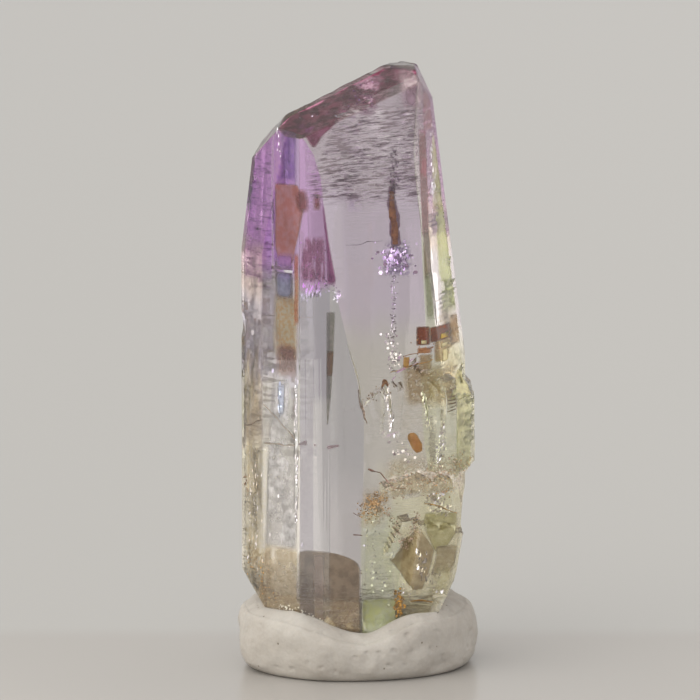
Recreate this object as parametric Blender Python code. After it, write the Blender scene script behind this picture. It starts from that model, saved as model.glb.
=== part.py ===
"""Tanzanite crystal standing on a pad of mounting putty.

The crystal is a flattened prism with its long axis upright. It is grown as convex blocks, each cut from a
cube by named crystal faces, which are then joined. The putty is one soft pad with a flat underside and a
pocket that takes the crystal's broken base.

Frame: +Z up, +X to the right of the front view, +Y away from the viewer. The origin is on the underside of
the putty, below the middle of the crystal. Lengths are in metres.
"""

import math

import bmesh
import bpy
from mathutils import Vector

MM = 0.001

# Driving dimensions of the crystal
CRYSTAL_TOP = 23.45 * MM
CRYSTAL_FOOT = 1.05 * MM
MID_HEIGHT = 13.4 * MM
BLOCK_REACH = 12.0 * MM

# Driving dimensions of the putty
PUTTY_HALF_LENGTH = 4.72 * MM
PUTTY_HALF_DEPTH = 4.15 * MM
PUTTY_HEIGHT = 2.85 * MM
PUTTY_TURN = math.radians(14.0)
PUTTY_BELLY = 1.05 * MM
PUTTY_SAG = 0.75 * MM
PUTTY_SHIFT = 0.045 * MM
PUTTY_RINGS = 26
PUTTY_SEGMENTS = 64
POCKET_GAP = 0.12 * MM

# Each prism face: the direction it faces (degrees from +X), its distance from the axis at mid height (mm)
# and how far it leans in towards the top (degrees).
PRISM_FACES = {
    "left_front": (-152.0, 4.06, 0.0),
    "front_left": (-126.4, 3.555, 0.0),
    "front_inner": (-108.6, 3.33, 0.0),
    "front_blade": (-92.7, 3.20, 0.0),
    "broad_front": (-80.0, 3.05, 3.0),
    "front_right": (-47.0, 3.71, 3.8),
    "right_front": (-23.0, 3.66, 6.6),
    "right_back": (30.0, 3.52, 6.6),
    "back_right": (80.0, 2.80, 1.5),
    "back_left": (116.0, 3.05, 0.0),
    "left_back": (152.0, 3.93, 0.0),
}

# Each face that only trims the prism: direction (degrees), a point on it (x, y, z in mm) and its lean.
TRIM_FACES = {
    "upper_left_bevel": (-152.0, (-3.86, -1.38, 16.3), 6.0),
    "upper_left_back_bevel": (152.0, (-4.40, 0.1, 16.3), 6.0),
    "upper_front_curve": (-80.0, (-0.9, -2.84, 20.07), 19.7),
    "right_limit": (0.0, (4.16, 0.0, 11.0), 0.0),
    "right_undercut": (0.0, (4.14, 0.0, 7.4), -6.5),
    "lower_right_chip": (4.0, (3.62, 0.0, 3.5), -27.0),
    "lower_left_chip": (-176.0, (-4.36, 0.0, 3.5), -33.0),
    "foot_front_chip": (-84.0, (0.1, -3.15, 1.95), -24.0),
    "foot_left_chip": (-128.0, (-2.9, -2.3, 2.45), -38.0),
}

# Termination: height at the axis (mm) and the slope of each roof face along X and along Y.
ROOF_FACES = {
    "front_roof": (22.88, 0.262, 0.50),
    "back_roof": (23.07, 0.623, -0.35),
    "summit": (23.45, 0.0, 0.03),
    "right_roof": (27.37, -1.78, 0.20),
    "left_roof": (25.75, 1.42, 0.12),
}

# Overgrowth on the right side, as faces through points (mm): a knob with a bevelled top and underside.
SHOULDER_FACES = {
    "knob_front": (-70.0, (3.40, -2.42, 9.5), 0.0),
    "knob_front_right": (-24.0, (4.30, -1.25, 9.5), 1.5),
    "knob_right": (6.0, (4.50, 0.0, 9.2), 0.5),
    "knob_back": (46.0, (3.75, 1.45, 9.5), 0.0),
    "knob_top": (-20.0, (4.20, -0.4, 11.05), 58.0),
    "knob_under": (-12.0, (4.36, -0.4, 7.85), -42.0),
    "knob_inner": (180.0, (3.0, 0.0, 9.5), 0.0),
}

# Ledges on the lower front: centre (mm), half sizes (mm) and turn about Z and about Y (degrees).
LEDGES = {
    "speckled_ledge": ((2.30, -2.60, 7.45), (1.35, 0.62, 0.30), 10.0, -7.0),
    "lower_step": ((2.75, -2.15, 4.60), (0.95, 0.80, 1.30), 26.0, 12.0),
    "rust_crust": ((0.42, -2.78, 6.30), (0.42, 0.42, 0.52), -8.0, 24.0),
    "v_crust_left": ((1.55, -2.68, 5.45), (0.20, 0.36, 0.72), 10.0, 28.0),
    "v_crust_right": ((2.10, -2.62, 5.55), (0.20, 0.36, 0.66), 14.0, -26.0),
    "notch_step": ((1.35, -2.82, 10.45), (0.36, 0.30, 0.95), 8.0, 4.0),
    "knob_step": ((3.35, -2.05, 10.70), (0.34, 0.42, 0.95), -36.0, 0.0),
}

# The shallow etched hollow on the lower front, right of the blade: faces through points (mm).
HOLLOW_FACES = {
    "floor": (100.0, (1.0, -2.70, 7.0), 0.0),
    "blade_side": (176.0, (0.36, -3.0, 7.0), 0.0),
    "top_left": (150.0, (0.30, -3.0, 10.6), 42.0),
    "top_right": (20.0, (2.6, -2.8, 11.9), 52.0),
    "underside": (-90.0, (1.0, -3.0, 1.9), -75.0),
    "front": (-80.0, (1.0, -6.0, 7.0), 0.0),
    "right_side": (-10.0, (5.2, -3.0, 7.0), 0.0),
}

COLOURS = {
    "tanzanite": (0.46, 0.38, 0.52, 1.0),
    "putty": (0.57, 0.51, 0.42, 1.0),
}


def collection(name):
    """Return a new collection linked to the scene."""
    made = bpy.data.collections.new(name)
    bpy.context.scene.collection.children.link(made)
    return made


def principled(name, colour, roughness, transmission=0.0):
    """Return a Principled material for one sub-part."""
    material = bpy.data.materials.new(name)
    material.use_nodes = True
    shader = material.node_tree.nodes["Principled BSDF"]
    shader.inputs["Base Color"].default_value = colour
    shader.inputs["Roughness"].default_value = roughness
    shader.inputs["Metallic"].default_value = 0.0
    shader.inputs["Transmission Weight"].default_value = transmission
    return material


def face_plane(azimuth_deg, point_mm, lean_deg):
    """Return a face as a point on it and its outward normal."""
    azimuth = math.radians(azimuth_deg)
    lean = math.radians(lean_deg)
    normal = Vector((math.cos(azimuth) * math.cos(lean), math.sin(azimuth) * math.cos(lean), math.sin(lean)))
    return Vector(point_mm) * MM, normal


def prism_planes():
    """Return the planes of the prism faces, each set out from the axis at mid height."""
    planes = []
    for azimuth_deg, distance_mm, lean_deg in PRISM_FACES.values():
        azimuth = math.radians(azimuth_deg)
        foot = (math.cos(azimuth) * distance_mm, math.sin(azimuth) * distance_mm, MID_HEIGHT / MM)
        planes.append(face_plane(azimuth_deg, foot, lean_deg))
    return planes


def roof_planes():
    """Return the planes of the termination, each from its height at the axis and its two slopes."""
    planes = []
    for height_mm, slope_x, slope_y in ROOF_FACES.values():
        normal = Vector((-slope_x, -slope_y, 1.0)).normalized()
        planes.append((Vector((0.0, 0.0, height_mm * MM)), normal))
    return planes


def planes_through(faces):
    """Return the planes of faces that are given by a point on each."""
    return [face_plane(azimuth_deg, point_mm, lean_deg) for azimuth_deg, point_mm, lean_deg in faces.values()]


def cut_block(name, planes, bottom, top, target):
    """Return a convex block: a tall cube between two heights, trimmed by every plane in turn."""
    mesh = bpy.data.meshes.new(name)
    block = bmesh.new()
    bmesh.ops.create_cube(block, size=1.0)
    bmesh.ops.scale(block, vec=(2.0 * BLOCK_REACH, 2.0 * BLOCK_REACH, top - bottom), verts=block.verts)
    bmesh.ops.translate(block, vec=(0.0, 0.0, (top + bottom) / 2.0), verts=block.verts)
    for point, normal in planes:
        everything = block.verts[:] + block.edges[:] + block.faces[:]
        bmesh.ops.bisect_plane(block, geom=everything, plane_co=point, plane_no=normal, clear_outer=True, dist=1e-7)
        rim = [edge for edge in block.edges if edge.is_boundary]
        if rim:
            bmesh.ops.holes_fill(block, edges=rim, sides=0)
    bmesh.ops.recalc_face_normals(block, faces=block.faces)
    block.to_mesh(mesh)
    block.free()
    made = bpy.data.objects.new(name, mesh)
    target.objects.link(made)
    return made


def ledge_block(name, centre_mm, half_mm, turn_deg, tip_deg, target):
    """Return one small ledge: a turned and tipped block with its edges chamfered."""
    mesh = bpy.data.meshes.new(name)
    block = bmesh.new()
    bmesh.ops.create_cube(block, size=2.0)
    bmesh.ops.scale(block, vec=Vector(half_mm) * MM, verts=block.verts)
    chamfer = 0.35 * min(half_mm) * MM
    bmesh.ops.bevel(block, geom=block.edges[:], offset=chamfer, segments=1, affect="EDGES")
    bmesh.ops.recalc_face_normals(block, faces=block.faces)
    block.to_mesh(mesh)
    block.free()
    made = bpy.data.objects.new(name, mesh)
    made.location = Vector(centre_mm) * MM
    made.rotation_euler = (0.0, math.radians(tip_deg), math.radians(turn_deg))
    target.objects.link(made)
    return made


def add_boolean(body, other, operation):
    """Join another block to a body, or cut it from the body."""
    modifier = body.modifiers.new(f"{operation.lower()} {other.name}", "BOOLEAN")
    modifier.object = other
    modifier.operation = operation
    modifier.solver = "EXACT"
    other.hide_render = True
    other.display_type = "WIRE"


def crystal_planes(clearance=0.0):
    """Return every plane of the main crystal, moved out by a clearance."""
    planes = prism_planes() + planes_through(TRIM_FACES) + roof_planes()
    return [(point + normal * clearance, normal) for point, normal in planes]


def build_crystal(parts, cutters):
    """Build the crystal: the main prism, its etched hollow, its shoulder overgrowth and its ledges."""
    crystal = cut_block("tanzanite_crystal", crystal_planes(), CRYSTAL_FOOT, CRYSTAL_TOP + 1.0 * MM, parts)
    hollow = cut_block("etched_hollow", planes_through(HOLLOW_FACES), 1.2 * MM, 14.0 * MM, cutters)
    add_boolean(crystal, hollow, "DIFFERENCE")
    shoulder = cut_block("shoulder_overgrowth", planes_through(SHOULDER_FACES), 6.6 * MM, 12.6 * MM, cutters)
    add_boolean(crystal, shoulder, "UNION")
    for name, (centre_mm, half_mm, turn_deg, tip_deg) in LEDGES.items():
        ledge = ledge_block(name, centre_mm, half_mm, turn_deg, tip_deg, cutters)
        add_boolean(crystal, ledge, "UNION")
    crystal.data.materials.append(principled("tanzanite", COLOURS["tanzanite"], 0.05, transmission=1.0))
    return crystal


def putty_surface(vert):
    """Turn a point of the unit sphere into the pad: a squashed oval, full at its belly and sagging in front."""
    around = math.atan2(vert.y, vert.x)
    outwards = math.hypot(vert.x, vert.y)
    fullness = outwards ** 0.72 if outwards > 0.0 else 0.0
    wobble = 1.0 + 0.018 * math.sin(2.0 * around + 0.7) + 0.012 * math.sin(5.0 * around)
    x = fullness * wobble * math.cos(around) * PUTTY_HALF_LENGTH
    y = fullness * wobble * math.sin(around) * PUTTY_HALF_DEPTH
    if vert.z >= 0.0:
        z = PUTTY_BELLY + (PUTTY_HEIGHT - PUTTY_BELLY) * vert.z ** 0.8
    else:
        z = PUTTY_BELLY - 1.6 * PUTTY_BELLY * (-vert.z) ** 0.9
    turned_x = x * math.cos(PUTTY_TURN) - y * math.sin(PUTTY_TURN)
    turned_y = x * math.sin(PUTTY_TURN) + y * math.cos(PUTTY_TURN)
    sag = PUTTY_SAG * math.exp(-(turned_x / (2.0 * MM)) ** 2) * max(0.0, -turned_y / PUTTY_HALF_DEPTH)
    return Vector((turned_x + PUTTY_SHIFT, turned_y, z - sag * max(0.0, vert.z) ** 0.5))


def build_putty(parts, cutters):
    """Build the putty pad, flat underneath, with the pocket for the crystal's base."""
    mesh = bpy.data.meshes.new("mounting_putty")
    pad = bmesh.new()
    bmesh.ops.create_uvsphere(pad, u_segments=PUTTY_SEGMENTS, v_segments=PUTTY_RINGS, radius=1.0)
    for vert in pad.verts:
        vert.co = putty_surface(vert.co)
    everything = pad.verts[:] + pad.edges[:] + pad.faces[:]
    underside = Vector((0.0, 0.0, -1.0))
    bmesh.ops.bisect_plane(pad, geom=everything, plane_co=Vector(), plane_no=underside, clear_outer=True, dist=1e-7)
    bmesh.ops.holes_fill(pad, edges=[edge for edge in pad.edges if edge.is_boundary], sides=0)
    bmesh.ops.recalc_face_normals(pad, faces=pad.faces)
    pad.to_mesh(mesh)
    pad.free()
    mesh.shade_smooth()
    putty = bpy.data.objects.new("mounting_putty", mesh)
    parts.objects.link(putty)
    pocket = cut_block("crystal_pocket", crystal_planes(POCKET_GAP), CRYSTAL_FOOT - POCKET_GAP, 6.0 * MM, cutters)
    add_boolean(putty, pocket, "DIFFERENCE")
    putty.data.materials.append(principled("putty", COLOURS["putty"], 0.85))
    return putty


def main():
    """Clear the scene and build both pieces."""
    for old in list(bpy.data.objects):
        bpy.data.objects.remove(old, do_unlink=True)
    parts = collection("tanzanite_crystal_on_putty")
    cutters = collection("cutters")
    cutters.hide_render = True
    build_crystal(parts, cutters)
    build_putty(parts, cutters)


main()
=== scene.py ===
"""Looks of a tanzanite crystal standing in a pad of mounting putty.

Sizes inside the classes are in millimetres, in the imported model's frame: X across the front view, Y away
from the viewer, Z up from the putty's flat underside. Meshes are turned to metres when they are made.
"""

from __future__ import annotations

import logging
import math
from dataclasses import dataclass, field
from enum import Enum
from typing import Protocol

import bmesh
import bpy
import numpy as np
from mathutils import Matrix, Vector


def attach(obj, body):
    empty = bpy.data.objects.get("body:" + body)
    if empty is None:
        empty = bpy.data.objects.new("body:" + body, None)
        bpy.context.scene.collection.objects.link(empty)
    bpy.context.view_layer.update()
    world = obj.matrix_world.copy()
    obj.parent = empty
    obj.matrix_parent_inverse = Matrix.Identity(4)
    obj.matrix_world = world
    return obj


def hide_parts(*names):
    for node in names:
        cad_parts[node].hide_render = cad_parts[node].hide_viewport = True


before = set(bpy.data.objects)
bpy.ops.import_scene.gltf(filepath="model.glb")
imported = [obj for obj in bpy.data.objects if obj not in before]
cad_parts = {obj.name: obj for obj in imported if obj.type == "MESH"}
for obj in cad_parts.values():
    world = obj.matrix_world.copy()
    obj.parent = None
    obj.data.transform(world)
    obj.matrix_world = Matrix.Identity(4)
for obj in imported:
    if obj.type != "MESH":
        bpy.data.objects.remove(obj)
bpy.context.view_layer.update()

MM = 0.001
FULL_TURN = 2.0 * math.pi
MERGE_DISTANCE = 2e-7
TINY = 1e-6
FAR_OFF = 1e3
BODY = "root"
LOG = logging.getLogger("tanzanite")

Array = np.ndarray
Colour = tuple[float, float, float, float]
Pair = tuple[float, float]
Point = tuple[float, float, float]

FIRST_COLOUR, SECOND_COLOUR, MIXED_COLOUR = 6, 7, 2
MINERAL_IOR = 1.5


class Finish(Protocol):
    """What every finish has: the material's name and a way to make it."""

    name: str

    def make(self) -> bpy.types.Material:
        """Return the material."""


def linear(hex_colour: str, alpha: float = 1.0) -> Colour:
    """Turn an sRGB hex colour into linear values.

    Args:
        hex_colour: six hex digits with a leading hash.
        alpha: the fourth value.

    Returns:
        Linear red, green, blue and alpha.
    """
    parts = [int(hex_colour[i:i + 2], 16) / 255.0 for i in (1, 3, 5)]
    red, green, blue = (c / 12.92 if c <= 0.04045 else ((c + 0.055) / 1.055) ** 2.4 for c in parts)
    return red, green, blue, alpha


def smooth(low: float, high: float, value: Array) -> Array:
    """Return 0 below low, 1 above high and an S-curve between; low may lie above high for a falling step."""
    t = np.clip((value - low) / (high - low), 0.0, 1.0)
    return t * t * (3.0 - 2.0 * t)


def window(value: Array, low: float, high: float, soft: float) -> Array:
    """Return 1 between low and high, falling to 0 over the distance soft outside them."""
    return smooth(low - soft, low, value) * smooth(high + soft, high, value)


def viewer_side(points: Array) -> Array:
    """Return 1 on the half of the crystal that the viewer sees and 0 behind, with a soft change between."""
    return smooth(0.5, -0.5, points[..., 1])


class GrainField:
    """Seeded sum of plane waves: a smooth random field of about unit height with no grid in it."""

    def __init__(self, size: float, seed: int, stretch: Point = (1.0, 1.0, 1.0),
                 waves: int = 28) -> None:
        """Draw the waves.

        Args:
            size: width of a typical feature in mm.
            seed: number that fixes the draw.
            stretch: how much longer features are along X, Y and Z.
            waves: number of plane waves in the sum.
        """
        draw = np.random.default_rng(seed)
        heading = draw.normal(size=(waves, 3))
        heading /= np.linalg.norm(heading, axis=1, keepdims=True)
        pitch = size * draw.uniform(1.3, 3.4, size=(waves, 1))
        self.vectors = heading * (FULL_TURN / pitch) / np.array(stretch)
        self.phases = draw.uniform(0.0, FULL_TURN, size=waves)

    def __call__(self, points: Array) -> Array:
        """Return the field at points, an array whose last axis is x, y, z in mm."""
        angles = points @ self.vectors.T + self.phases
        return np.cos(angles).sum(axis=-1) * math.sqrt(2.0 / len(self.phases))


def lattice(rows: int, columns: int) -> Array:
    """Return the quads of a closed tube of points stored ring by ring.

    Args:
        rows: number of rings.
        columns: number of points in a ring, the last of which joins the first.

    Returns:
        Point indices, four to a quad.
    """
    across = np.arange(columns)
    up = np.arange(rows - 1)[:, None]
    here = up * columns + across
    there = up * columns + (across + 1) % columns
    quads = np.stack([here, there, there + columns, here + columns], axis=-1)
    return quads.reshape(-1, 4)


def make_mesh(name: str, points: Array, faces: Array,
              values: dict[str, Array] | None = None) -> bpy.types.Object:
    """Put points in mm and faces into a new object, with doubles merged and normals turned outwards.

    Args:
        name: the object's name.
        points: grid of points in mm, with x, y, z on the last axis.
        faces: faces as rows of point indices.
        values: point attributes by name, n floats or n by 4 colours each.

    Returns:
        The new object, linked to the scene.
    """
    mesh = bpy.data.meshes.new(name)
    mesh.from_pydata((points.reshape(-1, 3) * MM).tolist(), [], faces.tolist())
    for label, data in (values or {}).items():
        kind = "FLOAT" if data.ndim == 1 else "FLOAT_COLOR"
        layer = mesh.attributes.new(label, kind, "POINT")
        layer.data.foreach_set("value" if data.ndim == 1 else "color", data.astype(np.float32).ravel())
    work = bmesh.new()
    work.from_mesh(mesh)
    bmesh.ops.remove_doubles(work, verts=work.verts, dist=MERGE_DISTANCE)
    bmesh.ops.dissolve_degenerate(work, edges=work.edges, dist=MERGE_DISTANCE / 2.0)
    bmesh.ops.recalc_face_normals(work, faces=work.faces)
    work.to_mesh(mesh)
    work.free()
    return link_new(name, mesh)


def link_new(name: str, data: bpy.types.ID) -> bpy.types.Object:
    """Return a new object with the given data, linked to the scene."""
    made = bpy.data.objects.new(name, data)
    bpy.context.scene.collection.objects.link(made)
    return made


def add(tree: bpy.types.NodeTree, kind: str, links: dict | None = None, settings: dict | None = None,
        **inputs: object) -> bpy.types.Node:
    """Add one node with its settings, plain input values and incoming links.

    Args:
        tree: the node tree.
        kind: the node's type name, without the ShaderNode prefix.
        links: input name or number to the output socket that feeds it.
        settings: node properties to set.
        **inputs: plain values of inputs, with spaces in names written as underscores.

    Returns:
        The new node.
    """
    node = tree.nodes.new("ShaderNode" + kind)
    for key, value in (settings or {}).items():
        setattr(node, key, value)
    for key, value in inputs.items():
        node.inputs[key.replace("_", " ")].default_value = value
    for key, socket in (links or {}).items():
        tree.links.new(socket, node.inputs[key])
    return node


def math_node(tree: bpy.types.NodeTree, operation: str, *values: object, clamp: bool = False) -> object:
    """Add a Math node whose inputs are sockets or numbers, and return its output socket."""
    node = tree.nodes.new("ShaderNodeMath")
    node.operation = operation
    node.use_clamp = clamp
    for slot, value in enumerate(values):
        if isinstance(value, (int, float)):
            node.inputs[slot].default_value = value
        else:
            tree.links.new(value, node.inputs[slot])
    return node.outputs[0]


def per_mm(size_mm: float) -> float:
    """Return the texture scale whose features are size_mm across, on coordinates in metres."""
    return 1.0 / (size_mm * MM)


def new_material(name: str) -> tuple[bpy.types.Material, bpy.types.NodeTree]:
    """Return an empty node material and its tree."""
    material = bpy.data.materials.new(name)
    material.use_nodes = True
    material.node_tree.nodes.clear()
    return material, material.node_tree


def dress(made: bpy.types.Object, finish: Finish, even: bool = True) -> None:
    """Give a piece its finish and put it on the body.

    Args:
        made: the piece.
        finish: its finish; pieces with the same finish share one material.
        even: whether its faces are shaded smoothly into each other.
    """
    made.data.materials.append(bpy.data.materials.get(finish.name) or finish.make())
    if even:
        made.data.shade_smooth()
    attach(made, BODY)


def blend(tree: bpy.types.NodeTree, share: object, first: Colour, second: Colour) -> object:
    """Return the output socket of a node that mixes two colours, with share as the second one's part."""
    node = add(tree, "Mix", {0: share}, {"data_type": "RGBA"})
    node.inputs[FIRST_COLOUR].default_value = first
    node.inputs[SECOND_COLOUR].default_value = second
    return node.outputs[MIXED_COLOUR]


def point_value(tree: bpy.types.NodeTree, label: str, output: str = "Fac") -> object:
    """Return the output socket that gives a point attribute of the mesh."""
    return add(tree, "Attribute", settings={"attribute_name": label}).outputs[output]


def noise(tree: bpy.types.NodeTree, place: object, size_mm: float, **inputs: float) -> object:
    """Return the output socket of a noise texture whose features are size_mm across."""
    return add(tree, "TexNoise", {"Vector": place}, Scale=per_mm(size_mm), **inputs).outputs["Fac"]


def stretched(tree: bpy.types.NodeTree, value: object, low: float, high: float,
              smoothly: bool = False) -> object:
    """Return the output socket of a node that turns low to high into 0 to 1."""
    kind = {"interpolation_type": "SMOOTHSTEP"} if smoothly else {}
    return add(tree, "MapRange", {"Value": value}, kind, From_Min=low, From_Max=high).outputs[0]


@dataclass(frozen=True)
class TanzaniteFinish:
    """Tanzanite (blue-violet zoisite), natural growth faces.

    Gives the eye a vitreous, see-through body that bends light strongly, fine upright growth lines, matt
    etched patches on the termination, and zones of violet, mauve and yellow-green.
    """

    name: str = "tanzanite_growth_faces"
    ior: float = 1.693
    polish: float = 0.015
    etched: float = 0.30
    body_colour: str = "#D9D4D6"
    body_density: float = 45.0
    line_width: float = 0.09
    dash_length: float = 0.9
    dash_height: float = 0.10
    dash_rise: float = 5.0
    groove_depth: float = 0.0022
    dash_depth: float = 0.024

    def make(self) -> bpy.types.Material:
        """Return the material."""
        material, tree = new_material(self.name)
        place = add(tree, "TexCoord").outputs["Object"]
        tint = point_value(tree, "tint", "Color")
        etch = point_value(tree, "etch")
        upright = add(tree, "Mapping", {"Vector": place}, Scale=(1.0, 1.0, 0.012))
        grooves = noise(tree, upright.outputs[0], self.line_width, Detail=2.0)
        groove_bump = add(tree, "Bump", {"Height": grooves, "Strength": point_value(tree, "lines")},
                          Distance=self.groove_depth * MM)
        lying = add(tree, "Mapping", {"Vector": place}, Rotation=(0.0, math.radians(-self.dash_rise), 0.0),
                    Scale=(self.dash_height / self.dash_length, 0.4, 1.0))
        dashes = noise(tree, lying.outputs[0], self.dash_height, Detail=3.0, Roughness=0.6)
        edged = stretched(tree, dashes, 0.46, 0.62)
        dash_bump = add(tree, "Bump", {"Height": edged, "Strength": etch, "Normal": groove_bump.outputs[0]},
                        Distance=self.dash_depth * MM)
        frost = math_node(tree, "MULTIPLY_ADD", etch, self.etched, self.polish, clamp=True)
        shader = add(tree, "BsdfPrincipled", {"Base Color": tint, "Roughness": frost,
                                              "Normal": dash_bump.outputs[0]},
                     IOR=self.ior, Transmission_Weight=1.0)
        shade = add(tree, "VolumeAbsorption", Color=linear(self.body_colour), Density=self.body_density)
        add(tree, "OutputMaterial", {"Surface": shader.outputs[0], "Volume": shade.outputs[0]})
        return material


@dataclass(frozen=True)
class InclusionFinish:
    """Solid matter inside or on the crystal, such as iron stain, clay or graphite; some of these finishes
    also serve as painted shade and painted highlight.

    Gives the eye an earthy, granular colour with dark and light specks.
    """

    name: str
    dark: str
    light: str
    roughness: float = 0.55
    grain: float = 0.12
    relief: float = 0.02

    def make(self) -> bpy.types.Material:
        """Return the material."""
        material, tree = new_material(self.name)
        place = add(tree, "TexCoord").outputs["Object"]
        speckle = noise(tree, place, self.grain, Detail=3.0)
        colour = blend(tree, stretched(tree, speckle, 0.35, 0.65), linear(self.dark), linear(self.light))
        bump = add(tree, "Bump", {"Height": speckle}, Distance=self.relief * MM, Strength=0.6)
        shader = add(tree, "BsdfPrincipled", {"Base Color": colour, "Normal": bump.outputs[0]},
                     Roughness=self.roughness, IOR=MINERAL_IOR)
        add(tree, "OutputMaterial", {"Surface": shader.outputs[0]})
        return material


@dataclass(frozen=True)
class VeilFinish:
    """Healed fracture or stain film inside the crystal; a few films are painted shade, and one is a painted
    reflection.

    Gives the eye a broken, see-through sheet: cloudy where fluid droplets gather, clear between them.
    Cover is the clouded share, contrast the softness of the clouds' edges, grain and stretch their size,
    solid the share that scatters light back, and stain how strongly passing light is tinted.
    """

    name: str
    dark: str
    light: str
    cover: float = 0.5
    contrast: float = 0.16
    grain: float = 0.25
    stretch: Point = (1.0, 1.0, 1.0)
    solid: float = 0.12
    roughness: float = 0.5
    turn: float = 0.0
    stain: float = 0.5
    metal: float = 0.0
    speck_share: float = 0.35
    ior: float = 1.4

    def make(self) -> bpy.types.Material:
        """Return the material.

        Light that passes is tinted by the film's colour, half at each of its two skins; the solid share
        scatters it back.
        """
        material, tree = new_material(self.name)
        place = add(tree, "TexCoord").outputs["Object"]
        turned = add(tree, "Mapping", {"Vector": place}, Rotation=(0.0, math.radians(self.turn), 0.0))
        laid = add(tree, "Mapping", {"Vector": turned.outputs[0]}, Scale=tuple(1.0 / s for s in self.stretch))
        patches = noise(tree, laid.outputs[0], self.grain, Detail=4.0, Roughness=0.6)
        edge = 0.5 + (0.5 - self.cover) * 0.5
        mask = stretched(tree, patches, edge - self.contrast / 2.0, edge + self.contrast / 2.0, smoothly=True)
        strength = math_node(tree, "MULTIPLY", mask, point_value(tree, "veil"), clamp=True)
        specks = stretched(tree, noise(tree, place, self.grain * self.speck_share, Detail=2.0), 0.38, 0.62)
        shades = linear(self.dark), linear(self.light)
        colour = blend(tree, specks, *shades)
        passed = blend(tree, specks, *(tuple(c ** self.stain for c in shade) for shade in shades))
        tint = add(tree, "Mix", {0: strength, SECOND_COLOUR: passed}, {"data_type": "RGBA"})
        tint.inputs[FIRST_COLOUR].default_value = (1.0, 1.0, 1.0, 1.0)
        share = math_node(tree, "MULTIPLY", strength, self.solid)
        clear = add(tree, "BsdfTransparent", {"Color": tint.outputs[MIXED_COLOUR]})
        film = add(tree, "BsdfPrincipled", {"Base Color": colour}, Roughness=self.roughness, IOR=self.ior,
                   Metallic=self.metal)
        mixed = add(tree, "MixShader", {0: share, 1: clear.outputs[0], 2: film.outputs[0]})
        add(tree, "OutputMaterial", {"Surface": mixed.outputs[0]})
        return material


@dataclass(frozen=True)
class PuttyFinish:
    """Mineral tack, kneaded by hand: a matt off-white wax and chalk blend with a little lint in it."""

    name: str = "mounting_putty_kneaded"
    shade: str = "#A69F96"
    light: str = "#B7B2AA"
    lint: str = "#756C60"
    roughness: float = 0.82
    ior: float = 1.48
    smear: float = 1.6
    chalk: float = 0.10
    lint_pitch: float = 0.7
    relief: float = 0.03
    glow_depth: float = 0.4

    def make(self) -> bpy.types.Material:
        """Return the material."""
        material, tree = new_material(self.name)
        place = add(tree, "TexCoord").outputs["Object"]
        broad = noise(tree, place, self.smear, Detail=4.0)
        fine = noise(tree, place, self.chalk, Detail=3.0)
        mixed = math_node(tree, "MULTIPLY_ADD", fine, 0.35, broad)
        tone = blend(tree, stretched(tree, mixed, 0.45, 0.90), linear(self.shade), linear(self.light))
        dots = add(tree, "TexVoronoi", {"Vector": place}, Scale=per_mm(self.lint_pitch))
        speck = stretched(tree, dots.outputs["Distance"], 0.075, 0.045)
        dusted = add(tree, "Mix", {0: speck, FIRST_COLOUR: tone}, {"data_type": "RGBA"})
        dusted.inputs[SECOND_COLOUR].default_value = linear(self.lint)
        bump = add(tree, "Bump", {"Height": mixed}, Distance=self.relief * MM, Strength=0.7)
        shader = add(tree, "BsdfPrincipled", {"Base Color": dusted.outputs[MIXED_COLOUR],
                                              "Normal": bump.outputs[0]},
                     Roughness=self.roughness, IOR=self.ior, Subsurface_Weight=0.12,
                     Subsurface_Scale=self.glow_depth * MM)
        shader.inputs["Subsurface Radius"].default_value = (1.0, 0.8, 0.6)
        add(tree, "OutputMaterial", {"Surface": shader.outputs[0]})
        return material


@dataclass(frozen=True)
class FloorFinish:
    """Pale satin acrylic sheet, grey-white with a faint soft reflection; its colour holds a painted shade, a
    little darker in front of and round the object than farther back.
    """

    name: str = "studio_floor_satin_acrylic"
    near: str = "#ABA7A2"
    far: str = "#B0AEAA"
    fade_from: float = 4.6
    fade_to: float = 7.6
    roughness: float = 0.22
    ior: float = 1.33

    def make(self) -> bpy.types.Material:
        """Return the material."""
        material, tree = new_material(self.name)
        place = add(tree, "TexCoord").outputs["Object"]
        depth = add(tree, "SeparateXYZ", {0: place}).outputs["Y"]
        # Painted shade: darker floor colour up to fade_from behind the axis, turning lighter by fade_to.
        far = stretched(tree, depth, self.fade_from * MM, self.fade_to * MM, smoothly=True)
        colour = blend(tree, far, linear(self.near), linear(self.far))
        shader = add(tree, "BsdfPrincipled", {"Base Color": colour}, Roughness=self.roughness, IOR=self.ior)
        add(tree, "OutputMaterial", {"Surface": shader.outputs[0]})
        return material


@dataclass(frozen=True)
class PrismFace:
    """One upright growth face.

    Its distance from the crystal's axis is a chain of straight pieces over height, so a face that leans in
    or is chipped at its foot is still one face.
    """

    name: str
    azimuth: float
    profile: tuple[Pair, ...]
    columns: int
    lines: float = 0.3

    def normal(self) -> Array:
        """Return the outward direction in plan."""
        angle = math.radians(self.azimuth)
        return np.array([math.cos(angle), math.sin(angle)])

    def distance(self, height: Array) -> Array:
        """Return the distance from the axis at each height."""
        heights, distances = zip(*self.profile)
        return np.interp(height, heights, distances)


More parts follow.
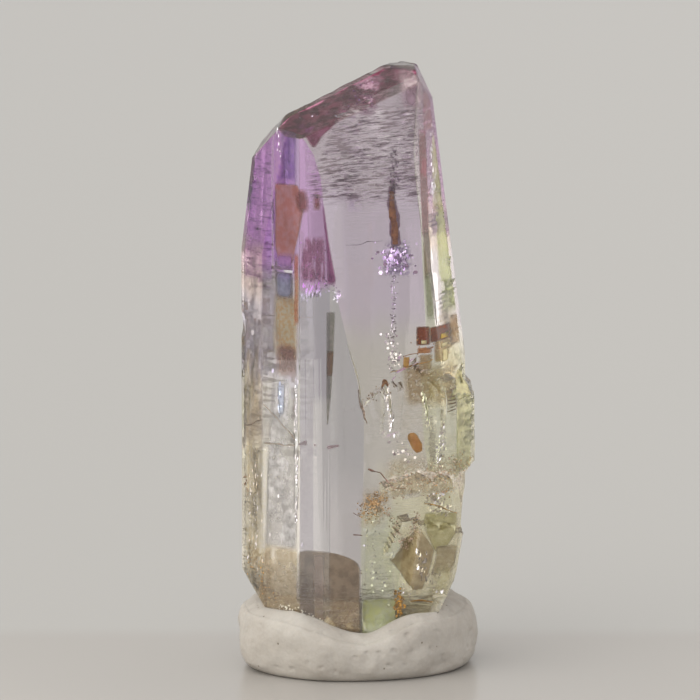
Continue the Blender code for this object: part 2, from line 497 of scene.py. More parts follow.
@dataclass(frozen=True)
class GrowthBlock:
    """A convex block that grew on the prism, given by its planes: a point on each and its outward normal."""

    points: Array
    normals: Array

    @classmethod
    def from_faces(cls, faces: dict[str, tuple[float, Point, float]]) -> GrowthBlock:
        """Make a block from named faces.

        Args:
            faces: name to azimuth in degrees, a point on the face in mm and the lean in degrees.

        Returns:
            The block.
        """
        azimuth = np.radians([f[0] for f in faces.values()])
        lean = np.radians([f[2] for f in faces.values()])
        normals = np.stack([np.cos(azimuth) * np.cos(lean), np.sin(azimuth) * np.cos(lean), np.sin(lean)], -1)
        return cls(np.array([f[1] for f in faces.values()], float), normals)

    @classmethod
    def from_box(cls, centre: Point, half: Point, turn: float,
                 tip: float) -> GrowthBlock:
        """Make a block from a box that is tipped about Y and then turned about Z.

        Args:
            centre: the middle in mm.
            half: half sizes in mm.
            turn: degrees about Z.
            tip: degrees about Y.

        Returns:
            The block.
        """
        a, b = math.radians(turn), math.radians(tip)
        about_y = np.array([[math.cos(b), 0, math.sin(b)], [0, 1, 0], [-math.sin(b), 0, math.cos(b)]])
        about_z = np.array([[math.cos(a), -math.sin(a), 0], [math.sin(a), math.cos(a), 0], [0, 0, 1]])
        axes = (about_z @ about_y).T
        normals = np.concatenate([axes, -axes])
        steps = np.concatenate([axes, -axes]) * np.tile(np.array(half)[:, None], (2, 1))
        return cls(np.array(centre) + steps, normals)

    def reach(self, angle: Array, height: Array) -> Array:
        """Return how far out the block reaches along a level ray from the axis, 0 where the ray misses it.

        A ray at the angle leaves the block at the nearest plane that faces outwards and enters it at the
        farthest plane that faces inwards.
        """
        heading = np.stack([np.cos(angle), np.sin(angle)], -1)
        slope = heading @ self.normals[:, :2].T
        offset = (self.points * self.normals).sum(-1)
        room = offset - height[..., None] * self.normals[:, 2]
        crossing = room / np.where(np.abs(slope) < TINY, TINY, slope)
        far = np.where(slope > TINY, crossing, FAR_OFF).min(-1)
        near = np.where(slope < -TINY, crossing, -FAR_OFF).max(-1)
        missed = ((np.abs(slope) <= TINY) & (room < 0.0)).any(-1)
        return np.where((far > near) & (far > 0.0) & ~missed, far, 0.0)


class Side(Enum):
    """Which way a roof face of the termination looks."""

    FRONT = "front"
    BACK = "back"
    SUMMIT = "summit"
    RIGHT = "right"
    LEFT = "left"


@dataclass
class Habit:
    """The crystal's outer form: prism faces, termination, overgrowth and the etched hollow."""

    foot: float = 1.05
    faces: tuple[PrismFace, ...] = (
        PrismFace("left_back", 152.0, ((0, 3.93), (16.3, 3.93), (24, 3.12)), 22, 0.12),
        PrismFace("left_chip", -176.0, ((0, 2.08), (1.05, 2.76), (3.5, 4.35), (4.4, 4.93), (24, 17.6)),
                  5, 0.1),
        PrismFace("left_front", -152.0, ((0, 4.06), (16.3, 4.06), (24, 3.25)), 30, 0.12),
        PrismFace("front_left", -126.4, ((0, 1.75), (1.05, 2.50), (2.42, 3.555), (24, 3.555)), 44, 0.18),
        PrismFace("front_inner", -108.6, ((0, 2.45), (1.05, 2.90), (1.9, 3.33), (24, 3.33)), 38, 0.15),
        PrismFace("front_blade", -92.7, ((0, 2.32), (1.05, 2.78), (1.95, 3.18), (2.1, 3.20), (24, 3.20)),
                  36, 0.25),
        PrismFace("broad_front", -80.0, ((0, 2.40), (1.05, 2.85), (1.95, 3.19), (10.2, 3.21), (10.9, 3.185),
                                         (13.4, 3.05), (19.4, 2.735), (20.3, 2.60), (20.85, 2.42),
                                         (21.35, 2.20), (22.0, 1.93), (24, 1.20)), 96, 0.12),
        PrismFace("front_right", -47.0, ((0, 4.60), (13.4, 3.71), (24, 3.006)), 22, 0.8),
        PrismFace("right_front", -23.0, ((0, 5.21), (13.4, 3.66), (24, 2.434)), 46, 0.35),
        PrismFace("right", 0.0, ((0, 1.83), (3.2, 3.46), (3.7, 3.70), (7.4, 4.14), (11, 4.16), (24, 4.16)),
                  12, 0.3),
        PrismFace("right_back", 30.0, ((0, 5.07), (13.4, 3.52), (24, 2.294)), 20, 0.15),
        PrismFace("back_right", 80.0, ((0, 3.151), (13.4, 2.80), (24, 2.522)), 22, 0.12),
        PrismFace("back_left", 116.0, ((0, 3.05), (24, 3.05)), 22, 0.12),
    )
    roof: dict[Side, Point] = field(default_factory=lambda: {
        Side.FRONT: (22.88, 0.262, 0.50),
        Side.BACK: (23.07, 0.623, -0.35),
        Side.SUMMIT: (23.45, 0.0, 0.03),
        Side.RIGHT: (27.37, -1.78, 0.20),
        Side.LEFT: (25.75, 1.42, 0.12),
    })
    roof_sharpness: float = 45.0
    knob: dict[str, tuple[float, Point, float]] = field(default_factory=lambda: {
        "front": (-70.0, (3.40, -2.42, 9.5), 0.0),
        "front_right": (-24.0, (4.30, -1.25, 9.5), 1.5),
        "right": (6.0, (4.50, 0.0, 9.2), 0.5),
        "back": (46.0, (3.75, 1.45, 9.5), 0.0),
        "top": (-20.0, (4.20, -0.4, 11.05), 58.0),
        "under": (-12.0, (4.36, -0.4, 7.85), -42.0),
        "inner": (180.0, (3.0, 0.0, 9.5), 0.0),
        "floor": (0.0, (0.0, 0.0, 6.6), -90.0),
        "ceiling": (0.0, (0.0, 0.0, 12.6), 90.0),
    })
    ledges: tuple[tuple[Point, Point, float, float], ...] = (
        ((2.30, -2.60, 7.45), (1.35, 0.62, 0.30), 10.0, -7.0),
        ((2.75, -2.15, 4.60), (0.95, 0.80, 1.30), 26.0, 12.0),
        ((0.42, -2.78, 6.30), (0.42, 0.42, 0.52), -8.0, 24.0),
        ((1.55, -2.68, 5.45), (0.20, 0.36, 0.72), 10.0, 28.0),
        ((2.10, -2.62, 5.55), (0.20, 0.36, 0.66), 14.0, -26.0),
        ((1.35, -2.82, 10.45), (0.36, 0.30, 0.95), 8.0, 4.0),
        ((3.35, -2.05, 10.70), (0.34, 0.42, 0.95), -36.0, 0.0),
    )
    hollow_distance: float = 2.833
    hollow_azimuth: float = -80.0
    hollow_foot: float = 1.9
    table_top: float = 24.2
    levels: int = 700

    def __post_init__(self) -> None:
        """Work out where every face starts and ends at each height."""
        self.heights = np.linspace(self.foot - 0.6, self.table_top, self.levels)
        self.starts, self.ends = self.corner_table(self.heights)

    def corner_table(self, heights: Array) -> tuple[Array, Array]:
        """Find the ends of every face in each level section.

        Every two faces cross at a point. The points that lie inside all other faces are the section's
        corners. A face runs between its two corners, and a face that has been grown out shrinks to the
        corner that lies farthest in its direction.

        Args:
            heights: the levels in mm.

        Returns:
            Start and end points, each faces by levels by 2.
        """
        count = len(self.faces)
        normals = np.array([face.normal() for face in self.faces])
        offsets = np.array([face.distance(heights) for face in self.faces])
        one, two = np.triu_indices(count, 1)
        det = normals[one, 0] * normals[two, 1] - normals[one, 1] * normals[two, 0]
        usable = np.abs(det) > 1e-3
        one, two, det = one[usable], two[usable], det[usable][:, None]
        x = (offsets[one] * normals[two, 1][:, None] - offsets[two] * normals[one, 1][:, None]) / det
        y = (offsets[two] * normals[one, 0][:, None] - offsets[one] * normals[two, 0][:, None]) / det
        crossing = np.stack([x, y], -1)
        overshoot = np.einsum("plc,fc->plf", crossing, normals) - offsets.T[None]
        inside = (overshoot < TINY).all(-1)
        starts = np.zeros((count, len(heights), 2))
        ends = np.zeros_like(starts)
        for index, normal in enumerate(normals):
            on_face = inside & ((one == index) | (two == index))[:, None]
            along = crossing @ np.array([-normal[1], normal[0]])
            outward = np.where(inside, crossing @ normal, -1e9)
            corner = outward.argmax(0)
            lowest = np.where(on_face, along, 1e9).argmin(0)
            highest = np.where(on_face, along, -1e9).argmax(0)
            held = on_face.sum(0) >= 2
            level = np.arange(len(heights))
            starts[index] = crossing[np.where(held, lowest, corner), level]
            ends[index] = crossing[np.where(held, highest, corner), level]
        return starts, ends

    def on_face(self, index: int, across: Array, height: Array) -> Array:
        """Return plan points on a face.

        Args:
            index: the face's number.
            across: 0 at the face's start to 1 at its end.
            height: height of each point in mm.

        Returns:
            Points, with x and y on the last axis.
        """
        start, end = (
            np.stack([np.interp(height, self.heights, table[index, :, axis]) for axis in (0, 1)], -1)
            for table in (self.starts, self.ends)
        )
        return start + (end - start) * across[..., None]

    def radius(self, angle: Array, height: Array) -> Array:
        """Return the prism's reach from its axis: the nearest face plane along a level ray."""
        heading = np.stack([np.cos(angle), np.sin(angle)], -1)
        reaches = []
        for face in self.faces:
            slope = heading @ face.normal()
            reaches.append(np.where(slope > 0.05, face.distance(height) / np.maximum(slope, 0.05), FAR_OFF))
        return np.min(reaches, axis=0)

    def roof_height(self, x: Array, y: Array) -> Array:
        """Return the termination's height: the lowest of its planes, blended over their shared edges."""
        planes = np.stack([h + sx * x + sy * y for h, sx, sy in self.roof.values()])
        least = planes.min(0)
        blend = np.exp(-self.roof_sharpness * (planes - least)).sum(0)
        return least - np.log(blend) / self.roof_sharpness


@dataclass(frozen=True)
class ColourZone:
    """Growth zone with its own colour: a window in X and Z with soft edges, on some or all faces."""

    colour: str
    faces: tuple[str, ...]
    x: Pair
    z: Pair
    soft: Pair = (0.3, 0.6)
    amount: float = 1.0
    sway: float = 0.12

    def weight(self, points: Array, sway: Array, on_faces: Array) -> Array:
        """Return how much of the zone's colour each point has, from 0 to 1."""
        across = window(points[..., 0], *self.x, self.soft[0])
        up = window(points[..., 2] + self.sway * sway, *self.z, self.soft[1])
        return self.amount * across * up * on_faces


@dataclass
class Crystal:
    """The tanzanite crystal as one closed surface."""

    habit: Habit
    rows: int = 188
    upper_rows: int = 96
    etched_from: float = 0.83
    roof_rings: int = 40
    foot_rings: int = 5
    chamfer: float = 0.022
    name: str = "tanzanite_crystal_surface"
    step_rise: float = 6.0
    first_top: float = 21.0
    top_steps: int = 14
    crown: Pair = (0.4, 0.35)
    sharp_angle: float = 24.0
    overgrowth_sink: float = 0.03
    ledge_sink: float = 0.09
    etched_zone: Pair = (18.2, 19.6)
    broken_zone: Pair = (12.6, 10.0)
    broken_right: Pair = (0.3, 0.8)
    lumpy_foot: Pair = (4.2, 2.6)
    tread_height: float = 0.34
    pale: str = "#EAE6E8"
    roof_left: str = "#A87284"
    roof_right: str = "#F0E0E6"
    roof_change: Pair = (1.0, 2.3)
    zones: tuple[ColourZone, ...] = (
        ColourZone("#ECDAFA", ("broad_front",), (-3.0, 3.2), (15.0, 23.0), (0.3, 2.5)),
        ColourZone("#DCCAE0", ("broad_front",), (-2.5, 3.2), (19.2, 24.0), (0.3, 1.0)),
        ColourZone("#F0ECDD", ("broad_front",), (-1.0, 3.2), (0.0, 12.0), (0.8, 2.5)),
        ColourZone("#C8C8CB", ("front_blade",), (-3.0, 1.0), (9.0, 16.0), (0.3, 3.0)),
        ColourZone("#A29EAE", ("front_inner",), (-3.0, 0.0), (9.5, 16.0), (0.3, 2.0)),
        ColourZone("#A39EAA", ("front_inner",), (-3.0, 0.0), (0.0, 9.0), (0.3, 1.5)),
        ColourZone("#CAC8CC", ("front_inner",), (-1.71, -1.0), (0.0, 10.6), (0.03, 0.5)),
        ColourZone("#B97BC9", ("front_inner", "front_blade"), (-3.0, 0.0), (15.45, 24.0), (0.3, 0.35)),
        ColourZone("#D8A2F6", ("front_left",), (-4.0, -1.5), (15.6, 24.0), (0.3, 0.5)),
        ColourZone("#CF8AD8", ("left_front", "left_back"), (-5.0, -2.0), (15.2, 24.0), (0.3, 0.8)),
        ColourZone("#D6D0E6", ("left_front", "left_chip", "front_left"), (-5.0, -2.0), (11.8, 15.4),
                   (0.3, 0.8)),
        ColourZone("#DCC0B0", ("left_front", "left_chip"), (-5.0, -3.3), (14.9, 16.4), (0.3, 0.6), 0.8),
        ColourZone("#EEE6D8", ("left_front", "left_chip"), (-5.0, -2.0), (0.0, 10.5), (0.3, 1.5)),
        ColourZone("#DCD8D2", ("front_left",), (-4.0, -1.5), (0.0, 9.5), (0.3, 1.5)),
        ColourZone("#F6FFDC", ("front_right",), (1.5, 5.0), (13.5, 22.0), (0.3, 0.6)),
        ColourZone("#FFFFF2", ("right_front", "right_back"), (1.5, 5.0), (11.0, 21.0), (0.3, 2.0)),
        ColourZone("#F0F5CC", ("right_front", "right", "front_right"), (1.5, 5.0), (7.0, 12.2), (0.3, 0.8)),
        ColourZone("#FBF6D2", (), (1.2, 5.0), (0.0, 7.6), (0.6, 1.0), 0.8),
        ColourZone("#EFF5D0", ("broad_front", "front_blade"), (0.14, 1.6), (1.5, 6.2), (0.06, 0.8)),
    )

    def columns(self) -> tuple[Array, Array]:
        """Return each column's face number and its place across that face, with chamfers between faces."""
        numbers, places = [], []
        level = int(np.searchsorted(self.habit.heights, 8.0))
        for index, face in enumerate(self.habit.faces):
            width = np.linalg.norm(self.habit.ends[index, level] - self.habit.starts[index, level])
            edge = min(0.25, self.chamfer / max(width, 0.1))
            places.append(np.linspace(edge, 1.0 - edge, face.columns))
            numbers.append(np.full(face.columns, index))
        return np.concatenate(numbers), np.concatenate(places)

    def section_points(self, numbers: Array, places: Array, height: Array) -> Array:
        """Return plan points of every column at its own heights, rows by columns by 2."""
        made = np.zeros(height.shape + (2,))
        for index in range(len(self.habit.faces)):
            mine = numbers == index
            across = np.broadcast_to(places[mine], height[:, mine].shape)
            made[:, mine] = self.habit.on_face(index, across, height[:, mine])
        return made

    def relief(self, points: Array, numbers: Array) -> Array:
        """Return the growth relief in mm along each face's normal.

        Upright growth lines are a field stretched along Z. The upper broad face is stepped: a slow field
        plus height is folded into low treads. The lower right and the foot are broken and lumpy.
        """
        upright = GrainField(0.085, 11, (1.0, 1.0, 60.0))
        broad = GrainField(0.30, 12, (1.0, 1.0, 40.0))
        lumps = GrainField(0.80, 13)
        chips = GrainField(0.20, 14)
        steps = GrainField(0.8, 15, (2.4, 2.4, 0.6))
        strength = np.array([face.lines for face in self.habit.faces])[numbers]
        x, height = points[..., 0], points[..., 2]
        striped = strength * (0.0022 * upright(points) + 0.0045 * broad(points))
        tread = (height - 0.09 * x) / self.tread_height + 0.5 * steps(points)
        stepped = 0.020 * (np.abs((tread % 1.0) - 0.5) - 0.25)
        lying = points @ self.tilt()
        bands = GrainField(0.07, 16, (9.0, 9.0, 1.0), 40)(lying)
        gates = smooth(-0.3, 0.9, GrainField(0.6, 17, (1.6, 1.6, 0.6))(points))
        stepped = (stepped + 0.0042 * bands * gates) * smooth(*self.etched_zone, height + 0.2 * x)
        stepped = stepped * smooth(-1.9, -1.1, x)
        rough = smooth(*self.broken_zone, height) * smooth(*self.broken_right, x) * viewer_side(points)
        rough = rough + 0.15 * smooth(*self.lumpy_foot, height)
        broken = rough * (0.020 * lumps(points) + 0.005 * chips(points))
        nicks = -0.06 * smooth(0.9, 1.6, lumps(points)) * smooth(-4.15, -4.35, x)
        return striped + stepped * viewer_side(points) + broken + nicks

    def tilt(self) -> Array:
        """Return the matrix that lays points along the etch steps, which rise to the right."""
        angle = math.radians(self.step_rise)
        return np.array([[math.cos(angle), 0.0, -math.sin(angle)], [0.0, 1.0, 0.0],
                         [math.sin(angle), 0.0, math.cos(angle)]])

    def hollow(self, points: Array, numbers: Array) -> Array:
        """Return how strongly the etched hollow on the lower front takes each point, from 0 to 1."""
        names = [face.name for face in self.habit.faces]
        taken = np.isin(numbers, [names.index("broad_front"), names.index("front_right")])
        x, height = points[..., 0], points[..., 2]
        wavy = GrainField(0.5, 21)(points) * 0.10
        top_left = 10.6 + 0.9 * (x - 0.30) + wavy
        top_right = 11.9 - 0.75 * (x - 2.6) + wavy
        ceiling = np.minimum(top_left, top_right)
        return taken * smooth(0.03, -0.03, height - ceiling) * smooth(self.habit.hollow_foot - 0.2,
                                                                      self.habit.hollow_foot + 0.2, height)

    def grow(self, points: Array, numbers: Array) -> Array:
        """Carve the hollow and add the overgrowth: the reach of each point from the axis is cut or raised."""
        angle = np.arctan2(points[..., 1], points[..., 0])
        reach = np.hypot(points[..., 0], points[..., 1])
        height = points[..., 2]
        turn = np.cos(angle - math.radians(self.habit.hollow_azimuth))
        floor = self.habit.hollow_distance / np.maximum(turn, 0.2)
        pits = 0.02 * GrainField(0.60, 22)(points)
        carved = np.minimum(reach, floor + pits)
        reach_new = reach + (carved - reach) * self.hollow(points, numbers)
        for ledge in self.habit.ledges:
            reach_new = np.maximum(reach_new, GrowthBlock.from_box(*ledge).reach(angle, height)
                                   - self.ledge_sink)
        knob = GrowthBlock.from_faces(self.habit.knob).reach(angle, height)
        reach_new = np.maximum(reach_new, knob - self.overgrowth_sink)
        grown = points.copy()
        grown[..., :2] *= (reach_new / np.maximum(reach, 1e-6))[..., None]
        return grown

    def surface(self) -> tuple[Array, Array]:
        """Work out the whole surface: the foot's rings, the wall's rows and the termination's rings.

        Returns:
            Points, rows by columns by 3, and the face number of each column.
        """
        numbers, places = self.columns()
        top = np.full((1, len(numbers)), self.first_top)
        for _ in range(self.top_steps):
            plan = self.section_points(numbers, places, top)
            top = self.habit.roof_height(plan[..., 0], plan[..., 1])
        lower = self.rows - self.upper_rows
        share = np.concatenate([np.linspace(0.0, self.etched_from, lower, endpoint=False),
                                np.linspace(self.etched_from, 1.0, self.upper_rows)])[:, None]
        height = self.habit.foot + share * (top - self.habit.foot)
        wall = np.concatenate([self.section_points(numbers, places, height), height[..., None]], -1)
        outward = np.array([face.normal() for face in self.habit.faces])[numbers]
        wall[..., :2] += outward * self.relief(wall, numbers)[..., None]
        wall = self.grow(wall, numbers)
        crown = np.array(self.crown)
        inwards = 1.0 - (np.arange(1, self.roof_rings + 1) / self.roof_rings)[:, None, None]
        plan = crown + (wall[-1, :, :2] - crown) * inwards
        lid_height = self.habit.roof_height(plan[..., 0], plan[..., 1])
        lid_height = lid_height + self.roof_relief(plan, lid_height)
        edge_gap = wall[-1, :, 2] - self.habit.roof_height(wall[-1, :, 0], wall[-1, :, 1])
        lid_height = lid_height + edge_gap * smooth(0.85, 1.0, inwards[..., 0])
        lid = np.concatenate([plan, lid_height[..., None]], -1)
        shrink = (np.arange(self.foot_rings) / self.foot_rings)[:, None, None]
        base_plan = wall[0, :, :2] * shrink
        base_height = np.full(base_plan.shape[:2] + (1,), self.habit.foot)
        base = np.concatenate([base_plan, base_height], -1)
        return np.concatenate([base, wall, lid]), numbers

    def roof_relief(self, plan: Array, height: Array) -> Array:
        """Return the termination's relief in mm: shallow growth hillocks that die out at the centre pole."""
        points = np.concatenate([plan, height[..., None]], -1)
        return 0.010 * GrainField(0.5, 31)(points) + 0.005 * GrainField(0.16, 32)(points)

    def tint(self, points: Array, numbers: Array) -> Array:
        """Return the zone colour of every point, zone laid over zone, with the termination's own on top."""
        x, y, height = points[..., 0], points[..., 1], points[..., 2]
        sway = GrainField(0.7, 41)(points)
        names = np.array([face.name for face in self.habit.faces])[numbers]
        colour = np.ones(points.shape[:-1] + (3,)) * np.array(linear(self.pale)[:3])
        for zone in self.zones:
            on_faces = np.isin(names, zone.faces) if zone.faces else np.ones(len(names))
            weight = zone.weight(points, sway, on_faces[None, :].astype(float))[..., None]
            colour = colour + (np.array(linear(zone.colour)[:3]) - colour) * weight
        lid = smooth(-0.04, -0.01, height - self.habit.roof_height(x, y))
        rightness = smooth(*self.roof_change, x)
        for target, amount in ((self.roof_left, 1.0 - rightness), (self.roof_right, rightness)):
            weight = (lid * amount)[..., None]
            colour = colour + (np.array(linear(target)[:3]) - colour) * weight
        return np.concatenate([colour, np.ones(colour.shape[:-1] + (1,))], -1)

    def etching(self, points: Array, numbers: Array) -> Array:
        """Return how etched each point is, from 0 for a bright face to 1 for a matt one."""
        x, y, height = points[..., 0], points[..., 1], points[..., 2]
        patches = GrainField(0.9, 51)(points)
        front = viewer_side(points)
        band = smooth(17.9, 19.6, height + 0.35 * patches) * smooth(-2.1, -1.6, x) * front
        lid = smooth(-0.03, 0.0, height - self.habit.roof_height(x, y)) * smooth(-0.2, 1.0, patches) * 0.6
        lower = smooth(12.5, 10.5, height) * smooth(0.3, 0.7, x) * (0.35 + 0.25 * patches)
        foot = smooth(4.4, 2.8, height + 0.3 * patches) * 0.5
        return np.clip(np.maximum.reduce([band * 0.8, lid, lower * front, foot]), 0.0, 1.0)

    def build(self) -> Skin:
        """Build and dress the crystal.

        Returns:
            The depth map of its front, which the inclusions follow.
        """
        points, numbers = self.surface()
        rows, columns = points.shape[:2]
        lines = np.broadcast_to(np.array([f.lines for f in self.habit.faces])[numbers], (rows, columns))
        values = {
            "tint": self.tint(points, numbers).reshape(-1, 4),
            "etch": self.etching(points, numbers).ravel(),
            "lines": lines.ravel(),
        }
        made = make_mesh(self.name, points, lattice(rows, columns), values)
        dress(made, TanzaniteFinish())
        made.data.set_sharp_from_angle(angle=math.radians(self.sharp_angle))
        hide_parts("tanzanite_crystal")
        LOG.info("%s: %d faces", made.name, len(made.data.polygons))
        return Skin.of(points[self.foot_rings:])


@dataclass(frozen=True)
class Skin:
    """Depth map of the crystal's front: Y of the foremost surface over an even grid of X and Z."""

    low: Pair
    cell: float
    depth: Array
    solid: Array

    @classmethod
    def of(cls, points: Array, cell: float = 0.06) -> Skin:
        """Make the map from the crystal's grid of points.

        The grid is made finer by putting points between neighbours. Each cell keeps its foremost Y, and
        empty cells take the mean of their filled neighbours, ring by ring. The outline is grown to close
        its gaps and then shrunk by more, so that what it holds lies well within the crystal.

        Args:
            points: rows by columns by 3, in mm.
            cell: width of a cell in mm.

        Returns:
            The map.
        """
        finer = points
        for axis in (0, 0, 1):
            count = finer.shape[axis]
            first, second = np.take(finer, range(count - 1), axis), np.take(finer, range(1, count), axis)
            finer = np.concatenate([first, (first + second) / 2.0], axis)
        finer = finer.reshape(-1, 3)
        low = (-5.4, 0.0)
        tall, wide = 25.0, 11.0
        shape = (int(tall / cell), int(wide / cell))
        row = np.clip(((finer[:, 2] - low[1]) / cell).astype(int), 0, shape[0] - 1)
        column = np.clip(((finer[:, 0] - low[0]) / cell).astype(int), 0, shape[1] - 1)
        depth = np.full(shape, np.inf)
        np.minimum.at(depth, (row, column), finer[:, 1])
        rearmost, growing, shrinking, filling = 1.2, 3, 5, 14
        depth[depth > rearmost] = np.inf
        solid = np.isfinite(depth)
        for step in range(growing + shrinking):
            padded = np.pad(solid if step < growing else ~solid, 1)
            grown = (padded[1:-1, 1:-1] | padded[:-2, 1:-1] | padded[2:, 1:-1] | padded[1:-1, :-2]
                     | padded[1:-1, 2:])
            solid = grown if step < growing else ~grown
        for _ in range(filling):
            padded = np.pad(depth, 1, constant_values=np.inf)
            around = np.stack([padded[:-2, 1:-1], padded[2:, 1:-1], padded[1:-1, :-2], padded[1:-1, 2:]])
            known = np.isfinite(around)
            mean = np.where(known, around, 0.0).sum(0) / np.maximum(known.sum(0), 1)
            depth = np.where(np.isfinite(depth), depth, np.where(known.any(0), mean, np.inf))
        return cls(low, cell, np.where(np.isfinite(depth), depth, 0.0), solid)

    def inside(self, x: Array, z: Array) -> Array:
        """Return whether each X and Z lies well within the crystal's outline."""
        column = np.clip(((x - self.low[0]) / self.cell).astype(int), 0, self.solid.shape[1] - 1)
        row = np.clip(((z - self.low[1]) / self.cell).astype(int), 0, self.solid.shape[0] - 1)
        return self.solid[row, column]

    @property
    def rise(self) -> Pair:
        """Return the lowest and the highest Z that lie well within the outline."""
        rows = np.flatnonzero(self.solid.any(1))
        return self.low[1] + rows[0] * self.cell, self.low[1] + rows[-1] * self.cell

    def span(self, z: Array) -> tuple[Array, Array]:
        """Return the least and the greatest X well within the outline at each Z, evened over five rows."""
        rows = np.flatnonzero(self.solid.any(1))
        first = self.solid[rows].argmax(1)
        last = self.solid.shape[1] - 1 - self.solid[rows, ::-1].argmax(1)
        heights = self.low[1] + rows * self.cell
        ends = []
        for cells in (first, last):
            even = np.convolve(np.pad(cells.astype(float), 2, "edge"), np.full(5, 0.2), "valid")
            ends.append(np.interp(z, heights, self.low[0] + (even + 0.5) * self.cell))
        return ends[0], ends[1]

    def __call__(self, x: Array, z: Array) -> Array:
        """Return the front's Y at X and Z, from the four cells round each point."""
        column = np.clip((x - self.low[0]) / self.cell - 0.5, 0.0, self.depth.shape[1] - 1.001)
        row = np.clip((z - self.low[1]) / self.cell - 0.5, 0.0, self.depth.shape[0] - 1.001)
        i, j = row.astype(int), column.astype(int)
        u, v = row - i, column - j
        lower = self.depth[i, j] * (1 - v) + self.depth[i, j + 1] * v
        upper = self.depth[i + 1, j] * (1 - v) + self.depth[i + 1, j + 1] * v
        return lower * (1 - u) + upper * u


def turned(draw: np.random.Generator, count: int) -> Array:
    """Return count random rotations, each a 3 by 3 matrix, from evenly drawn unit quaternions."""
    q = draw.normal(size=(count, 4))
    w, x, y, z = (q / np.linalg.norm(q, axis=1, keepdims=True)).T
    return np.stack([
        np.stack([1 - 2 * (y * y + z * z), 2 * (x * y - z * w), 2 * (x * z + y * w)], -1),
        np.stack([2 * (x * y + z * w), 1 - 2 * (x * x + z * z), 2 * (y * z - x * w)], -1),
        np.stack([2 * (x * z - y * w), 2 * (y * z + x * w), 1 - 2 * (x * x + y * y)], -1),
    ], 1)


class Seed(Enum):
    """Small shape that is repeated: a thin six-sided plate, an uneven grain or a long grain."""

    PLATE = "plate"
    GRAIN = "grain"
    BLADE = "blade"

    def shape(self) -> tuple[Array, Array]:
        """Return the shape's points, one unit in radius, and its faces.

        A plate is two hexagons joined by a rim. A grain or blade is a ball of rings: its points are
        (cos a sin b, sin a sin b, cos b) with a round the ring and b from pole to pole.
        """
        if self is Seed.PLATE:
            angle = np.radians(np.arange(6) * 60.0)
            ring = np.stack([np.cos(angle), np.sin(angle), np.zeros(6)], -1)
            rings = [ring * [0, 0, 0] + [0, 0, -0.06], ring * [0.9, 0.9, 1] + [0, 0, -0.06],
                     ring * [0.9, 0.9, 1] + [0, 0, 0.06], ring * [0, 0, 0] + [0, 0, 0.06]]
            return np.concatenate(rings), lattice(4, 6)
        polar = np.radians(np.array([0.0, 40.0, 90.0, 140.0, 180.0]))[:, None]
        angle = np.radians(np.arange(6) * 60.0)
        ball = np.stack([np.sin(polar) * np.cos(angle), np.sin(polar) * np.sin(angle),
                         np.cos(polar) + 0.0 * angle], -1)
        return ball.reshape(-1, 3), lattice(5, 6)


@dataclass(frozen=True)
class Swarm:
    """Many small inclusions of one kind, strewn just below the crystal's front; some swarms are painted
    shade, painted highlight and painted glints.

    The middles are drawn round a centre line in X and Z with a normal spread, and each lies at its own
    depth below the skin.
    """

    name: str
    finish: Finish
    seed_shape: Seed
    line: tuple[Pair, ...]
    spread: Pair
    count: int
    size: Pair
    seed: int
    stretch: Point = (1.0, 1.0, 1.0)
    depth: Pair = (0.06, 0.30)
    random_turn: bool = True
    tip: float = 0.0
    even: bool = False
    facing: Point | None = None
    jitter: float = 0.2
    tip_sway: float = 4.0
    farthest: float = 2.2
    unevenness: Pair = (0.75, 1.25)

    def axes(self, draw: np.random.Generator) -> Array:
        """Return each inclusion's axes: turned at random, tipped in the front's plane, or facing one way."""
        if self.facing is not None:
            normal = np.array(self.facing) + draw.normal(0.0, self.jitter, (self.count, 3))
            normal /= np.linalg.norm(normal, axis=1, keepdims=True)
            side = np.cross(np.array([0.0, 0.0, 1.0]), normal)
            side /= np.linalg.norm(side, axis=1, keepdims=True)
            return np.stack([side, np.cross(normal, side), normal], -1)
        if self.random_turn:
            return turned(draw, self.count)
        angle = np.radians(self.tip + draw.normal(0.0, self.tip_sway, self.count))
        zero, one = np.zeros(self.count), np.ones(self.count)
        return np.stack([np.stack([np.cos(angle), zero, -np.sin(angle)], -1), np.stack([zero, one, zero], -1),
                         np.stack([np.sin(angle), zero, np.cos(angle)], -1)], 1)

    def centres(self, skin: Skin, draw: np.random.Generator) -> Array:
        """Draw the middles of the inclusions.

        Args:
            skin: depth map of the crystal's front.
            draw: the random numbers.

        Returns:
            Middles in mm, count by 3.
        """
        stops = np.array(self.line, float)
        steps = np.concatenate([[0.0], np.cumsum(np.linalg.norm(np.diff(stops, axis=0), axis=1))])
        along = draw.uniform(0.0, max(steps[-1], TINY), self.count)
        if self.even:
            off = draw.uniform(-1.0, 1.0, size=(self.count, 2))
        else:
            off = np.clip(draw.normal(size=(self.count, 2)), -self.farthest, self.farthest)
        x = np.interp(along, steps, stops[:, 0]) + off[:, 0] * self.spread[0]
        z = np.interp(along, steps, stops[:, 1]) + off[:, 1] * self.spread[1]
        return np.stack([x, skin(x, z) + draw.uniform(*self.depth, self.count), z], -1)

    def build(self, skin: Skin) -> bpy.types.Object:
        """Build and dress the swarm.

        Args:
            skin: depth map of the crystal's front.

        Returns:
            The object with all inclusions of this kind.
        """
        draw = np.random.default_rng(self.seed)
        middle = self.centres(skin, draw)
        kept = skin.inside(middle[:, 0], middle[:, 2])
        points, faces = self.seed_shape.shape()
        size = draw.uniform(*self.size, self.count)[:, None, None]
        uneven = draw.uniform(*self.unevenness, size=(self.count, 1, 3))
        local = points[None] * size * uneven * np.array(self.stretch)
        axes = self.axes(draw)
        placed = np.einsum("nij,npj->npi", axes, local) + middle[:, None]
        placed = placed[kept]
        index = faces[None] + (np.arange(len(placed)) * len(points))[:, None, None]
        made = make_mesh(self.name, placed, index.reshape(-1, 4))
        dress(made, self.finish, even=False)
        return made


